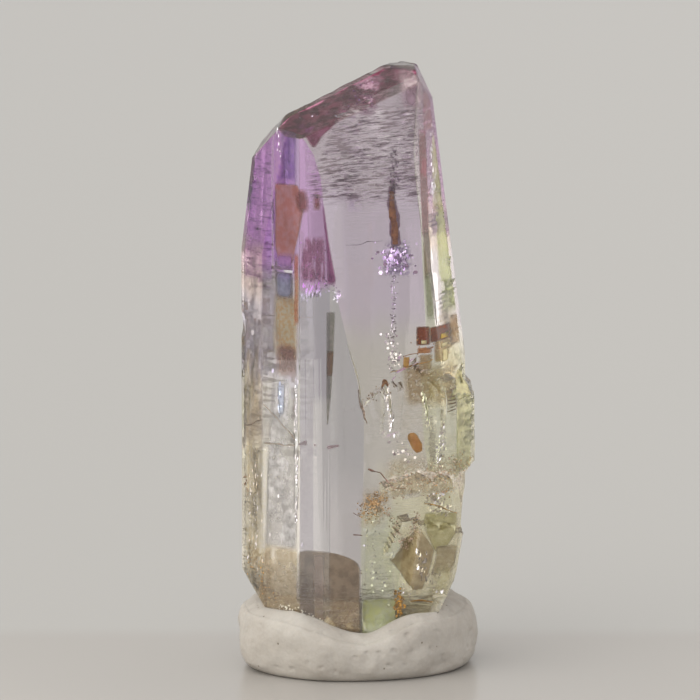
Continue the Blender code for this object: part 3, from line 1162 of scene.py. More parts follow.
@dataclass(frozen=True)
class Veil:
    """Film inside the crystal: a thin closed lens of sheet that follows the front face at its own depth.

    Its edges are chains of straight pieces, given as heights and the X of its left and right edge there, or
    one X where an edge is upright. The sheet ends at the crystal's outline where these limits lie beyond
    it. Its point is (x, skin(x, z) + depth + ripple +- thickness, z), and it is nearer the skin, at
    rim_share of its depth, within rim_width of the outline.
    """

    name: str
    finish: Finish
    heights: tuple[float, ...]
    left: float | tuple[float, ...]
    right: float | tuple[float, ...]
    seed: int = 0
    depth: float = 0.18
    soft: Pair = (0.12, 0.12)
    thickness: float = 0.02
    ripple: float = 0.02
    ripple_size: float = 0.5
    step: float = 0.09
    rim_share: float = 0.35
    rim_width: float = 0.4

    def edge(self, limits: float | tuple[float, ...], z: Array) -> Array:
        """Return an edge's X at each Z, from its X at the film's heights."""
        order = np.argsort(self.heights)
        return np.interp(z, np.array(self.heights)[order], np.broadcast_to(limits, len(order))[order])

    def build(self, skin: Skin) -> bpy.types.Object:
        """Build and dress the film.

        Args:
            skin: depth map of the crystal's front.

        Returns:
            The film's object.
        """
        lowest, highest = min(self.heights), max(self.heights)
        rows = max(8, int((highest - lowest) / self.step))
        width = float(np.max(np.abs(np.subtract(self.right, self.left))))
        columns = max(6, int(width / self.step))
        share = np.linspace(0.0, 1.0, rows)[:, None]
        across = np.linspace(0.0, 1.0, columns)
        bottom, top = np.clip((lowest, highest), *skin.rise)
        z = bottom + (top - bottom) * share
        left, right = self.edge(self.left, z), self.edge(self.right, z)
        low, high = skin.span(z)
        x = np.clip(left, low, high) * (1.0 - across) + np.clip(right, low, high) * across
        z = z + np.zeros_like(x)
        place = np.stack([x, np.zeros_like(x), z], -1)
        inwards = smooth(0.0, self.rim_width, np.minimum(x - low, high - x))
        sunk = self.depth * (self.rim_share + (1.0 - self.rim_share) * inwards)
        y = skin(x, z) + sunk + self.ripple * GrainField(self.ripple_size, self.seed)(place)
        aside = smooth(-0.005, self.soft[0], np.minimum(x - left, right - x))
        along = smooth(-0.005, self.soft[1], np.minimum(z - lowest, highest - z))
        fade = aside * along * skin.inside(x, z)
        bulge = np.sqrt(np.clip(4.0 * across * (1.0 - across) * 4.0 * share * (1.0 - share), 0.0, 1.0))
        front = np.stack([x, y - bulge * self.thickness, z], -1)
        back = np.stack([x, y + bulge * self.thickness, z], -1)
        points = np.concatenate([front, back[:, -2:0:-1]], 1)
        values = np.concatenate([fade, fade[:, -2:0:-1]], 1)
        made = make_mesh(self.name, points, lattice(rows, points.shape[1]), {"veil": values.ravel()})
        dress(made, self.finish)
        return made


@dataclass(frozen=True)
class Thread:
    """Long thin inclusion: a crack edge, a needle, a stained tube; along the notch, lines of painted
    highlight and painted shade.

    It is a tube along a chain of points in X and Z, with a radius at each, that wanders a little. Its
    section point is path + radius * (cos a, flat * sin a), closed at both ends.
    """

    name: str
    finish: Finish
    path: tuple[Pair, ...]
    radii: tuple[float, ...]
    seed: int = 0
    depth: float = 0.08
    wander: float = 0.02
    lumps: float = 0.25
    lump_size: float = 0.15
    flat: float = 0.7
    sides: int = 10
    step: float = 0.03
    wander_size: float = 0.3

    def build(self, skin: Skin) -> bpy.types.Object:
        """Build and dress the thread.

        Args:
            skin: depth map of the crystal's front.

        Returns:
            The thread's object.
        """
        stops = np.array(self.path, float)
        steps = np.concatenate([[0.0], np.cumsum(np.linalg.norm(np.diff(stops, axis=0), axis=1))])
        along = np.linspace(0.0, steps[-1], max(12, int(steps[-1] / self.step)))
        x, z = (np.interp(along, steps, stops[:, axis]) for axis in (0, 1))
        radius = np.interp(along, steps, self.radii)
        place = np.stack([x, np.zeros_like(x), z], -1)
        x = x + self.wander * GrainField(self.wander_size, self.seed)(place)
        z = z + self.wander * GrainField(self.wander_size, self.seed + 1)(place)
        y = skin(x, z) + self.depth
        lumpy = 1.0 + self.lumps * GrainField(self.lump_size, self.seed + 2)(place)
        radius = radius * np.clip(lumpy, 0.2, 2.0)
        radius[[0, -1]] = 0.0
        dx, dz = np.gradient(x), np.gradient(z)
        length = np.maximum(np.hypot(dx, dz), 1e-9)
        aside = np.stack([dz / length, np.zeros_like(x), -dx / length], -1)
        angle = np.linspace(0.0, FULL_TURN, self.sides, endpoint=False)
        centre = np.stack([x, y, z], -1)
        ring = aside[:, None] * np.cos(angle)[None, :, None]
        ring = ring + np.array([0.0, self.flat, 0.0]) * np.sin(angle)[None, :, None]
        points = centre[:, None] + ring * radius[:, None, None]
        made = make_mesh(self.name, points, lattice(len(x), self.sides))
        dress(made, self.finish)
        return made


@dataclass(frozen=True)
class FlakeFinish:
    """Open fracture facets and gas-filled tubes, which mirror the studio light in tiny flashes."""

    name: str
    colour: str
    roughness: float = 0.18
    metallic: float = 0.85

    def make(self) -> bpy.types.Material:
        """Return the material."""
        material, tree = new_material(self.name)
        shader = add(tree, "BsdfPrincipled", Base_Color=linear(self.colour), Roughness=self.roughness,
                     Metallic=self.metallic, IOR=MINERAL_IOR)
        add(tree, "OutputMaterial", {"Surface": shader.outputs[0]})
        return material


# Finishes that several inclusions share.
IRON = InclusionFinish("iron_oxide_stain", "#865637", "#C18A54")
OCHRE = InclusionFinish("ochre_iron_clay", "#B5823A", "#D9A854", grain=0.06)
RUST_CRUST = InclusionFinish("rust_crust", "#AF885A", "#DDBE95", grain=0.05)
# Pinkish clay crust, and the same colour as painted shade round the notch.
ROSE_CRUST_AND_SHADE = InclusionFinish("pinkish_clay_crust", "#B79781", "#E1CDBB", grain=0.05)
DARK_SPECK = InclusionFinish("dark_brown_specks", "#6A5040", "#95765E", grain=0.05)
CRACK = InclusionFinish("stained_crack_edge", "#855E54", "#AF8774", grain=0.08)
SMUDGE = InclusionFinish("pale_stain_spot", "#D4B6BC", "#F1D7DC", grain=0.15)
# Painted shadow and painted highlight of the etched steps: a dark grey for their shade, also used for the
# shade beside the stem and for the upper crack, and a near white for their lit edges.
ETCH_DARK = InclusionFinish("etched_step_shadow", "#70646A", "#93878C", grain=0.06)
ETCH_HIGHLIGHT = InclusionFinish("etched_step_light", "#E1DBD9", "#F5F1EF", grain=0.06)
# Cream filling of tubes and stems, and the same near white as painted glints and the notch's painted
# highlight.
CREAM = InclusionFinish("cream_tube_filling", "#E5E0CE", "#F8F5EA", grain=0.06)
SILVER = FlakeFinish("open_fracture_silver", "#F2EEF4")
LILAC_FLAKE = FlakeFinish("open_fracture_lilac", "#DDCDE4")
PURPLE_FLAKE = FlakeFinish("open_fracture_purple", "#A680BA", 0.25)
# The way in which flakes must look to flash the light at the viewer, from under the left front face (A),
# the front left face (B), the inner face (C) and the broad front face.
FLASH_A = (-0.68, -0.67, 0.29)
FLASH_B = (-0.48, -0.83, 0.29)
FLASH_C = (-0.34, -0.90, 0.28)
FLASH_FRONT = (-0.105, -0.955, 0.279)
# Films that mirror the light instead of tinting it.
MIRROR = {"stain": 0.1, "metal": 1, "roughness": 0.3}
OLIVE_SPOT = VeilFinish("olive_spot_film", "#C08E70", "#DCAE8C", 1, 0.3, 0.5, solid=0.5)
CLOUD = VeilFinish("cloud_film", "#C5C4C8", "#F5F5FC", 0.52, 0.3, 0.75, (1, 1, 2), 0.6, **MIRROR)
IRON_BLOCK = VeilFinish("iron_block_film", "#8C3B06", "#AE500C", 1, 0.4, 0.15, solid=1)
GOLD_WINDOW = VeilFinish("gold_window_film", "#E8DAA2", "#FFF5D0", 1, 0.3, 0.1, solid=0.7, roughness=0.3,
    stain=0.3, metal=1)
GREY_HAZE = VeilFinish("grey_haze_film", "#E4DCDD", "#FEFCFE", 0.95, 0.5, 0.4, (1, 1, 5), 0.25, stain=0.15,
    metal=0.7)


def film(name: str, dark: str, light: str, cover: float, contrast: float, grain: float,
         *shape: object, **look: object) -> Veil:
    """Return a film with a finish of its own.

    Args:
        name: the film's name.
        dark: its darker colour.
        light: its lighter colour.
        cover: the clouded share of it.
        contrast: softness of the clouds' edges.
        grain: size of the clouds in mm.
        *shape: heights, left edge, right edge, seed, depth and soft width of the borders.
        **look: other values of the finish.

    Returns:
        The film.
    """
    return Veil(name, VeilFinish(f"{name}_film", dark, light, cover, contrast, grain, **look), *shape)


def glints(name: str, *place: object, facing: Point = FLASH_FRONT, jitter: float = 0.12,
           finish: Finish = SILVER, **more: object) -> Swarm:
    """Return plates that all look about one way, so that they flash together.

    Args:
        name: the swarm's name.
        *place: centre line, spread, count, size and seed.
        facing: the way that the plates look.
        jitter: how much they differ in it.
        finish: their finish.
        **more: other values of the swarm.

    Returns:
        The swarm.
    """
    return Swarm(name, finish, Seed.PLATE, *place, facing=facing, jitter=jitter, **more)


def grains(name: str, finish: Finish, *place: object, depth: Pair = (0.0, 0.08), even: bool = False) -> Swarm:
    """Return grains that lie close to the skin, or deeper where a depth is given.

    Args:
        name: the swarm's name.
        finish: the grains' finish.
        *place: centre line, spread, count, size and seed.
        depth: least and greatest depth in mm.
        even: whether they are strewn evenly.

    Returns:
        The swarm.
    """
    return Swarm(name, finish, Seed.GRAIN, *place, depth=depth, even=even)


# Films, in mm: colours, cover, contrast and grain, then the heights with the X of the left and right edge
# there, the seed, the depth below the skin and the width of the soft borders at the sides and ends.
FILMS: tuple[Veil, ...] = (
    film("iron_column", "#EDC98D", "#F3E5AF", 1, 0.5, 0.8, (16, 16.6, 17.2, 18.1, 18.9, 19.15),
        (-3, -3.16, -3.19, -3.19, -3.19, -3.19), (-2.5, -2.36, -2.24, -2.05, -2.2, -2.28), 101, 0.12,
        (0.08, 0.12), stretch=(1, 1, 4), solid=0.6, metal=0.4),
    film("iron_seam", "#F2AF82", "#F9D3A7", 1, 0.3, 0.3, (13.7, 16.5), -2.44, -2.25, 102, 0.1, (0.05, 0.2),
        solid=0.3),
    film("golden_column", "#FFE5AC", "#FFFFDC", 1, 0.5, 0.35, (12.1, 13.2, 15), (-3.2, -3.25, -3.25), -2.22,
        103, 0.22, (0.25, 0.6), stretch=(1, 1, 6), solid=0.5, metal=0.6),
    film("brown_patch", "#BB9480", "#E5C7B5", 0.75, 0.3, 0.15, (11.6, 13), -3.16, -2.3, 104, 0.16,
        (0.2, 0.4), stretch=(1, 1, 4), solid=0.45),
    Veil("olive_spot_left", OLIVE_SPOT, (18.05, 18.5, 19), (-2.3, -2.4, -2.4), (-1.85, -1.84, -1.95), 105,
        0.1, (0.22, 0.22)),
    Veil("olive_spot_right", OLIVE_SPOT, (18.15, 18.9), -1.72, (-1.4, -1.42), 106, 0.1, (0.14, 0.2)),
    film("grape_streaks", "#B28293", "#F6DBD8", 0.62, 0.2, 0.12, (15.35, 17.2), (-2.26, -2.1),
        (-1.2, -1.26), 107, 0.1, (0.08, 0.25), stretch=(1, 1, 6), solid=0.35),
    film("grape_seam", "#B3799C", "#D799B9", 1, 0.3, 0.15, (15.3, 15.55, 16.26, 17.1, 18.4),
        (-1.2, -1.2, -1.2, -1.27, -1.38), (-0.86, -0.84, -0.98, -1.12, -1.3), 108, 0.08, (0.08, 0.2),
        stretch=(1, 1, 3), solid=0.55),
    film("blue_block", "#C0C7D5", "#DAE1EF", 1, 0.3, 0.4, (14.7, 15.75), (-3.12, -3.14), (-2.5, -2.46), 109,
        0.16, (0.2, 0.2), stretch=(1, 1, 3), solid=0.7),
    film("blue_strip", "#A99EC1", "#BDB2D2", 0.55, 0.5, 0.6, (19.2, 21.3), -2.92, -2.26, 110, 0.25,
        (0.05, 0.2), stretch=(1, 1, 5)),
    film("left_violet_streaks", "#B493BC", "#D9C4DE", 0.32, 0.2, 0.12, (14.8, 20.6), (-4.42, -4.1), -3.25,
        111, 0.14, (0.1, 0.4), stretch=(7, 7, 1), turn=4),
    film("bluish_flash", "#AEB8CE", "#D6DEF0", 0.85, 0.2, 0.12, (10.1, 11.4), (-3.05, -3.12),
        (-2.86, -2.78), 112, 0.08, (0.05, 0.2), stretch=(1, 1, 3), solid=0.6, **MIRROR),
    film("white_edge", "#C8C8C8", "#EAEAEC", 0.9, 0.25, 0.1, (6.4, 11.6), (-2.46, -2.44), (-2.27, -2.29),
        113, 0.06, (0.04, 0.3), stretch=(1, 1, 8), solid=0.6, **MIRROR),
    Veil("cloud_upper", CLOUD, (7.9, 11.8), (-3.6, -3.2), -2.5, 114, 0.12, (0.2, 0.4)),
    Veil("cloud_lower", CLOUD, (4.9, 8.6), (-3.55, -3.5), -2.3, 115, 0.12, (0.15, 0.3)),
    film("left_tan_streaks", "#F9E9C6", "#FFFFF8", 0.45, 0.2, 0.12, (2.9, 12.6), (-4.35, -4.45), -3.72, 116,
        0.12, (0.06, 0.4), stretch=(1, 1, 9), solid=0.15),
    film("left_grey_streaks", "#E7E6ED", "#FFFFFF", 0.45, 0.2, 0.15, (9, 15.2), (-3.7, -3.75), (-2.5, -3.1),
        117, 0.16, (0.1, 0.4), stretch=(1, 1, 7)),
    film("left_gold_foot", "#C9B58A", "#F2E6C4", 0.45, 0.2, 0.16, (2.7, 4.9), (-3.9, -4.4), (-3, -3.4), 118,
        0.1, (0.15, 0.3), solid=0.2),
    # Painted reflection: a greyish sheet standing in for an internal reflection in the crystal.
    film("dark_wedge", "#BFBEB1", "#D8D2C6", 1, 0.3, 0.3, (9.9, 11, 12.5, 14.3),
        (-1.2, -1.21, -1.21, -1.21), (-1.15, -1.03, -0.93, -0.87), 120, 0.1, (0.02, 0.1), stretch=(1, 1, 4),
        solid=0.6),
    film("wedge_stain", "#B08A6A", "#D1AB87", 0.95, 0.3, 0.12, (11.8, 12.8), -1.2, (-0.98, -0.92), 121,
        0.06, (0.03, 0.15), solid=0.6),
    film("base_zone", "#B09B80", "#CEBA9D", 1, 0.5, 0.9, (1.6, 4.3, 4.55, 4.75, 4.9, 4.98),
        (-2.28, -2.28, -2.28, -2.28, -2.24, -2), (0.1, 0.1, 0, -0.35, -0.85, -1.3), 122, 0.14, (0.02, 0.03),
        solid=0.55),
    film("base_zone_left", "#DCCBAA", "#F8ECD2", 0.8, 0.4, 0.6, (2.2, 5.1), (-3.9, -3.6), -2.28, 123, 0.14,
        (0.1, 0.3), solid=0.35, metal=0.3),
    film("pink_patch", "#E7DBE9", "#F7F1F8", 0.45, 0.25, 0.2, (18, 19.4), (-0.5, -0.65), (0.25, 0.1), 124,
        0.2, (0.2, 0.4), solid=0.35, roughness=0.35, stain=0.1, metal=1),
    film("edge_strip_purple", "#C08E95", "#DAA6AB", 1, 0.4, 0.3, (17, 21.2), (2.42, 2.28), (2.74, 2.62),
        125, 0.08, (0.04, 0.5), stretch=(1, 1, 4), solid=0.55),
    film("edge_strip_brown", "#BAA698", "#CFBDAB", 1, 0.4, 0.3, (15.3, 17.5), (2.52, 2.44), (2.84, 2.76),
        126, 0.08, (0.04, 0.4), stretch=(1, 1, 4), solid=0.55),
    film("edge_strip_olive", "#C9C9B9", "#DDDDCE", 1, 0.4, 0.3, (13.8, 15.8), (2.62, 2.52), (2.94, 2.84),
        127, 0.08, (0.04, 0.4), stretch=(1, 1, 4), solid=0.55),
    film("green_striae", "#DFE8AB", "#FFFFEB", 0.85, 0.3, 0.09, (13.9, 17.5, 20.5), (3.22, 2.95, 2.9),
        (3.85, 3.5, 3.3), 147, 0.07, (0.08, 0.4), stretch=(1, 1, 12), solid=0.35),
    film("flake_shade", "#8C7CA3", "#C1B5CF", 0.5, 0.14, 0.1, (15.5, 17), (0.85, 0.95), (2.1, 2), 128, 0.35,
        (0.25, 0.35)),
    Veil("block_left", IRON_BLOCK, (12.92, 13.66), 2.22, (2.76, 2.74), 129, 0.1, (0.02, 0.03)),
    Veil("block_right", IRON_BLOCK, (13, 13.62), (2.75, 2.73), (3.64, 3.58), 130, 0.08, (0.02, 0.04)),
    film("block_haze", "#C8AC8C", "#E6D4BC", 0.8, 0.4, 0.4, (12.7, 13.9), (3.48, 3.46), (4, 3.98), 131,
        0.08, (0.06, 0.06), solid=0.35),
    film("block_foot", "#C9A468", "#FFF0C4", 0.8, 0.25, 0.14, (12.2, 13.1), 2.9, 3.52, 132, 0.1,
        (0.05, 0.1), stretch=(1.8, 1, 0.7), solid=0.5),
    film("gold_bar", "#E1A54C", "#E1D36F", 1, 0.3, 0.1, (13.08, 13.28), 3.16, 3.52, 133, 0.05, (0.03, 0.03),
        solid=0.8),
    Veil("gold_window", GOLD_WINDOW, (12.2, 12.7), 3.26, 3.47, 134, 0.05, (0.03, 0.05)),
    film("ochre_square", "#E2A550", "#FFD170", 1, 0.3, 0.1, (12.08, 12.5), (1.71, 1.73), (1.96, 1.98), 135,
        0.08, (0.03, 0.03), solid=0.85),
    film("olive_square", "#C4A57A", "#F2E2C4", 0.9, 0.3, 0.12, (11.95, 12.6), (2.3, 2.34), (2.82, 2.84),
        136, 0.1, (0.04, 0.05), solid=0.5),
    film("speckle_haze", "#D8BD9D", "#EFE5C9", 0.7, 0.3, 0.14, (10.4, 12.3), (1.8, 1.55), (3.9, 3.8), 137,
        0.16, (0.35, 0.5), solid=0.4),
    film("crust_haze", "#E8D0B4", "#FFF6E8", 0.5, 0.3, 0.12, (5.8, 7.5), (-0.1, 0.05), (1.15, 1.3), 138,
        0.05, (0.35, 0.4), solid=0.45, stain=0.3, metal=0.5),
    film("speckle_band", "#E8D6C4", "#FFFAF4", 0.6, 0.25, 0.16, (6.9, 8.7), (0.8, 1), (4.2, 4.4), 139, 0.05,
        (0.5, 0.5), solid=0.45, stain=0.1, metal=0.7),
    film("bright_patch", "#E8E6BC", "#FFFFE0", 0.75, 0.3, 0.2, (5.8, 7.2), (2.2, 2.3), (3.5, 3.7), 140,
        0.04, (0.3, 0.3), solid=0.08, roughness=0.35, stain=0.05, metal=1),
    film("olive_face", "#DCD8B0", "#F4F0D0", 1, 0.4, 0.8, (4.9, 5.6, 6, 6.4), (2.95, 2.62, 2.5, 2.55),
        (3.3, 3.8, 3.85, 3.85), 141, 0.1, (0.06, 0.08), solid=0.5, stain=0.4, metal=0.8),
    film("green_cloud", "#FFFFD5", "#FFFFF9", 0.8, 0.4, 0.4, (3, 5.9), (0.12, 0.3), (1.4, 1.3), 142, 0.12,
        (0.05, 0.4), solid=0.15, stain=0.05, metal=0.8),
    film("olive_foot", "#FFFFD5", "#FFFFF6", 0.9, 0.4, 0.6, (1.5, 3.1), 0.12, 1.5, 143, 0.1, (0.1, 0.2),
        solid=0.6, stain=0.1, metal=0.7),
    film("roof_mottle", "#8E3F5A", "#D692AE", 1, 0.45, 1, (20.55, 20.95, 21.25, 21.6, 22.1, 22.6, 23, 23.4),
        (-1.8, -2.05, -3.3, -4.2, -4.2, -4.2, -4.2, -4.2), (-1.6, -1.35, -1, -0.65, -0.05, 1.1, 2.1, 2.5),
        144, 0.16, (0.16, 0.12), stretch=(1.6, 1.6, 0.9), solid=0.65, stain=0.8),
    film("roof_patch", "#DCC4CA", "#FDEAED", 0.85, 0.4, 0.7, (21.8, 23.5), (1.5, 1.45), 2.6, 145, 0.05,
        (0.6, 0.5), solid=0.5, stain=0.2, metal=0.6),
    film("roof_bloom", "#B58AA0", "#E6C0D2", 0.6, 0.25, 0.35, (21.6, 23.2), (-0.6, -0.3), (1, 1.2), 176,
        0.08, (0.8, 0.5), solid=0.6, stain=0.3),
    film("bevel_bloom", "#DCC8C5", "#F8E9E3", 0.6, 0.3, 0.2, (21, 22.6), 2.5, (2.95, 2.8), 146, 0.05,
        (0.06, 0.2)),
    film("haze_a_violet", "#E0BCEC", "#F8DCFF", 0.95, 0.5, 0.5, (15.2, 21.3), -4.7, -3.2, 151, 0.3,
        (0.1, 0.3), stretch=(2, 2, 1), solid=0.4, stain=0.12, metal=0.6),
    film("haze_b_violet", "#EED2FF", "#FFEEFF", 0.95, 0.5, 0.5, (16, 21.3), -3.25, -2.28, 152, 0.3,
        (0.05, 0.3), stretch=(1, 1, 5), solid=0.35, stain=0.12, metal=0.6),
    Veil("haze_a_middle", GREY_HAZE, (8.8, 15.9), -4.7, -3.15, 153, 0.3, (0.1, 0.4)),
    Veil("haze_b_middle", GREY_HAZE, (11.3, 16.4), -3.25, -2.28, 154, 0.3, (0.05, 0.3)),
    film("haze_b_low", "#CFCDD2", "#DDDDDF", 0.95, 0.5, 0.4, (4.8, 11.5), (-3.6, -3.3), -2.28, 155, 0.3,
        (0.1, 0.4), stretch=(1, 1, 3), solid=0.3, stain=0.2),
    film("haze_a_low", "#FFFBEB", "#FFFFFF", 0.95, 0.5, 0.4, (2.4, 9), -4.7, (-3.3, -3.2), 156, 0.3,
        (0.1, 0.4), stretch=(1, 1, 5), solid=0.3, stain=0.1, metal=0.7),
    film("lavender_block", "#E6D8EE", "#FFF4FF", 1, 0.3, 0.4, (15.8, 16.5), (-3.12, -3.1), (-2.5, -2.45),
        157, 0.12, (0.12, 0.3), stretch=(1, 1, 3), solid=0.5, stain=0.3),
    film("base_strip", "#D9C3B3", "#EBD7C5", 1, 0.4, 0.6, (1.9, 4.9), -1.74, -1.28, 158, 0.05, (0.03, 0.2),
        solid=0.4),
    film("block_low_bar", "#D48D56", "#FFC282", 1, 0.3, 0.15, (12.62, 12.84), 2.26, 2.82, 159, 0.08,
        (0.03, 0.03), solid=0.7),
    Veil("block_window", GOLD_WINDOW, (12.97, 13.14), 2.4, 2.66, 160, 0.04, (0.03, 0.03)),
    Veil("foot_window_low", GOLD_WINDOW, (12.36, 12.5), 3.24, 3.5, 161, 0.04, (0.03, 0.03)),
    Veil("foot_window_high", GOLD_WINDOW, (12.74, 12.92), 3.2, 3.5, 162, 0.04, (0.03, 0.03)),
    film("knob_top", "#DCD1A5", "#FFFACB", 1, 0.4, 0.3, (10.7, 11.9), (3.5, 3.9), 4.8, 163, 0.04,
        (0.06, 0.1), solid=0.7),
    film("knob_haze", "#E4E2B8", "#F8F6D3", 1, 0.5, 0.5, (7.9, 11), 3.75, 4.8, 164, 0.08, (0.06, 0.1),
        solid=0.35, stain=0.2, metal=0.5),
    film("right_haze", "#E8E8C8", "#FFFFEA", 0.95, 0.5, 0.3, (11.8, 20.5), (3.42, 3.3), 4.8, 165, 0.14,
        (0.06, 0.3), stretch=(1, 1, 8), solid=0.08, stain=0.05, metal=0.8),
    film("silk_cream", "#C9BD9C", "#FFFFF0", 0.9, 0.35, 0.1, (17.8, 21), 2.84, (3.28, 3.18), 166, 0.05,
        (0.04, 0.4), stretch=(1, 1, 14), solid=0.35, roughness=0.3, stain=0.3, metal=1),
    film("middle_haze", "#F4ECDE", "#FFFDF4", 0.6, 0.5, 0.6, (8, 11.4), 1.2, 4.2, 167, 0.14, (0.6, 0.6),
        solid=0.1, stain=0.2),
    film("right_foot_haze", "#E9DFBF", "#F9F5DF", 0.7, 0.4, 0.4, (1.8, 6.2), (1.2, 1.5), 4.6, 168, 0.16,
        (0.5, 0.5), solid=0.2, stain=0.1, metal=0.7),
    # Painted shade: a dim grey film of lines in the etched band, the shaded side of its steps.
    film("etch_lines_dark", "#A2959A", "#BCB2B6", 0.4, 0.12, 0.07, (18.3, 19.2, 22.2), (-1.75, -1.95, -0.7),
        (2.45, 2.45, 2.3), 169, 0.03, (0.3, 0.5), stretch=(9, 9, 1), solid=0.3, turn=6),
    film("etch_lines_light", "#D9D0D4", "#F4EEF0", 0.38, 0.12, 0.06, (18.3, 19.2, 22.2),
        (-1.75, -1.95, -0.7), (2.45, 2.45, 2.3), 170, 0.02, (0.3, 0.5), stretch=(8, 8, 1), solid=0.4,
        turn=6, **MIRROR),
    film("white_seam", "#D8D8DC", "#FFFFFF", 0.8, 0.3, 0.1, (15.7, 15.82), -3.19, -2.4, 171, 0.04,
        (0.05, 0.02), stretch=(3, 1, 1), solid=0.7, **MIRROR),
    film("brown_face", "#CFBEA4", "#EADCC4", 1, 0.4, 0.8, (3.4, 4.2, 4.55, 5, 5.9),
        (2.2, 1.5, 1.2, 1.6, 2.25), (2.45, 2.75, 2.85, 2.95, 2.35), 172, 0.1, (0.06, 0.08), solid=0.5,
        stain=0.4, metal=0.8),
    film("grey_face", "#D4C8B0", "#EADFC8", 1, 0.4, 0.8, (4, 4.5, 5.15), (2.75, 2.92, 3), (3.55, 3.8, 3.85),
        175, 0.08, (0.08, 0.1), solid=0.5, stain=0.35, metal=0.8),
    film("foot_light", "#E8E2C4", "#FFFFF0", 0.6, 0.3, 0.3, (3.1, 4.5), (2.6, 2.9), (3.5, 3.7), 173, 0.06,
        (0.2, 0.3), solid=0.35, roughness=0.35, stain=0.2, metal=1),
    film("base_foot", "#E9D4AF", "#FFF2D1", 0.9, 0.5, 0.5, (1.5, 3.3), -3.6, 0.12, 174, 0.05, (0.1, 0.5),
        solid=0.3, stain=0.2, metal=0.7),
)
# Threads, in mm: the chain of X and Z, the radius at each point of it, the seed, the depth and the wander.
THREADS: tuple[Thread, ...] = (
    Thread("iron_rod", InclusionFinish("iron_rod_filling", "#8C5630", "#CB9858", grain=0.18),
        ((1.24, 18.85), (1.31, 17.9), (1.42, 16.8)), (0.08, 0.14, 0.11), 201, 0.12, lumps=0.08),
    Thread("grey_rod", InclusionFinish("grey_brown_tube", "#A08890", "#CDBBC0", grain=0.08),
        ((1.26, 19.3), (1.32, 17.9), (1.44, 16.7)), (0.12, 0.2, 0.17), 204, 0.4, lumps=0.08),
    Thread("white_line", CREAM, ((-3.2, 15.8), (-2.4, 15.76)), (0.02, 0.025), 207, 0.05, 0.01),
    Thread("upper_crack", ETCH_DARK, ((-0.5, 16.8), (0.2, 16.86), (0.95, 16.98)), (0.006, 0.012, 0.006),
        210),
    Thread("smudge_left", SMUDGE, ((-2.26, 9.08), (-1.95, 9.16)), (0.05, 0.08), 213, 0.1, 0.01, flat=0.3),
    Thread("smudge_middle", SMUDGE, ((-1.68, 9.1), (-1.6, 9.11)), (0.04, 0.04), 216, 0.1, 0),
    Thread("smudge_right", SMUDGE, ((-1.2, 9), (-0.74, 9.12)), (0.07, 0.05), 219, 0.1, 0.01, flat=0.3),
    Thread("left_crack", DARK_SPECK, ((-4.45, 9.45), (-4.1, 9.62), (-3.7, 9.8)), (0.02, 0.025, 0.012), 222),
    Thread("slant_crack", ROSE_CRUST_AND_SHADE, ((-3.66, 10.5), (-3, 9.9), (-2.41, 9.25)), (0.012, 0.012, 0.02), 225),
    Thread("level_crack", ROSE_CRUST_AND_SHADE, ((-3.6, 8.95), (-2.9, 9), (-2.41, 8.97)), (0.03, 0.02, 0.03), 228),
    # Painted highlight: a bright cream line along the hollow's notch edge, where the edge catches the light.
    Thread("notch_left", CREAM, ((-0.42, 13.1), (-0.18, 12.3), (0.04, 11.6), (0.1, 11), (0.2, 10.68)),
        (0.008, 0.014, 0.018, 0.02, 0.03), 231, 0.02, 0.01),
    Thread("notch_right", CREAM, ((0.2, 10.68), (0.45, 10.9), (0.78, 11.1)), (0.03, 0.03, 0.02), 234, 0.02),
    # Painted shade: a brown line beside the notch's bright edge.
    Thread("notch_stain", ROSE_CRUST_AND_SHADE, ((0.02, 11.3), (0.12, 10.6), (0.3, 9.9)), (0.03, 0.05, 0.03), 237),
    Thread("cream_stem_left", CREAM, ((1.05, 11.45), (1.18, 10.8), (1.3, 9.75)), (0.04, 0.06, 0.02), 240,
        0.05),
    Thread("stem_tip", IRON, ((0.85, 11.3), (1, 11.6), (1.2, 11.35)), (0.03, 0.08, 0.03), 243),
    Thread("cream_stem_middle", CREAM, ((2.5, 11.2), (2.62, 10.5), (2.73, 9.8)), (0.03, 0.035, 0.02), 246,
        0.05),
    Thread("cream_stem_right", CREAM, ((3.36, 11.3), (3.4, 10.6), (3.38, 9.8)), (0.02, 0.03, 0.02), 249,
        0.04),
    Thread("orange_lens", InclusionFinish("orange_iron_lens", "#E09A3A", "#FBC064", grain=0.3),
        ((2, 9.5), (2.1, 9.3), (2.26, 8.98), (2.36, 8.72)), (0.12, 0.2, 0.22, 0.12), 252, 0.12, 0, 0.05,
        flat=0.4),
    Thread("orange_line_low", OCHRE, ((1.28, 11.94), (2.1, 12.12), (2.9, 12.37)), (0.015, 0.02, 0.018),
        255),
    Thread("orange_line_high", IRON, ((1.71, 12.49), (2.3, 12.66), (2.87, 12.86)), (0.015, 0.02, 0.03),
        258),
    Thread("dark_crack", CRACK, ((0.36, 8.12), (0.84, 7.98), (1.31, 7.5), (1.79, 7.46)),
        (0.035, 0.02, 0.018, 0.012), 261, 0.03),
    Thread("dark_needle", CRACK, ((-0.2, 5.67), (0.22, 5.62)), (0.03, 0.012), 264, 0.05),
    Thread("fine_needle", CRACK, ((-0.21, 6.5), (0.08, 6.36)), (0.012, 0.006), 267, 0.05),
    Thread("yellow_crack", OCHRE, ((2.55, 6.73), (3.2, 6.6), (3.84, 6.3)), (0.014, 0.018, 0.012), 270,
        0.02),
    Thread("ochre_streak", OCHRE, ((2.03, 2.95), (2.5, 2.93), (2.89, 2.86)), (0.02, 0.035, 0.02), 273,
        0.03),
)
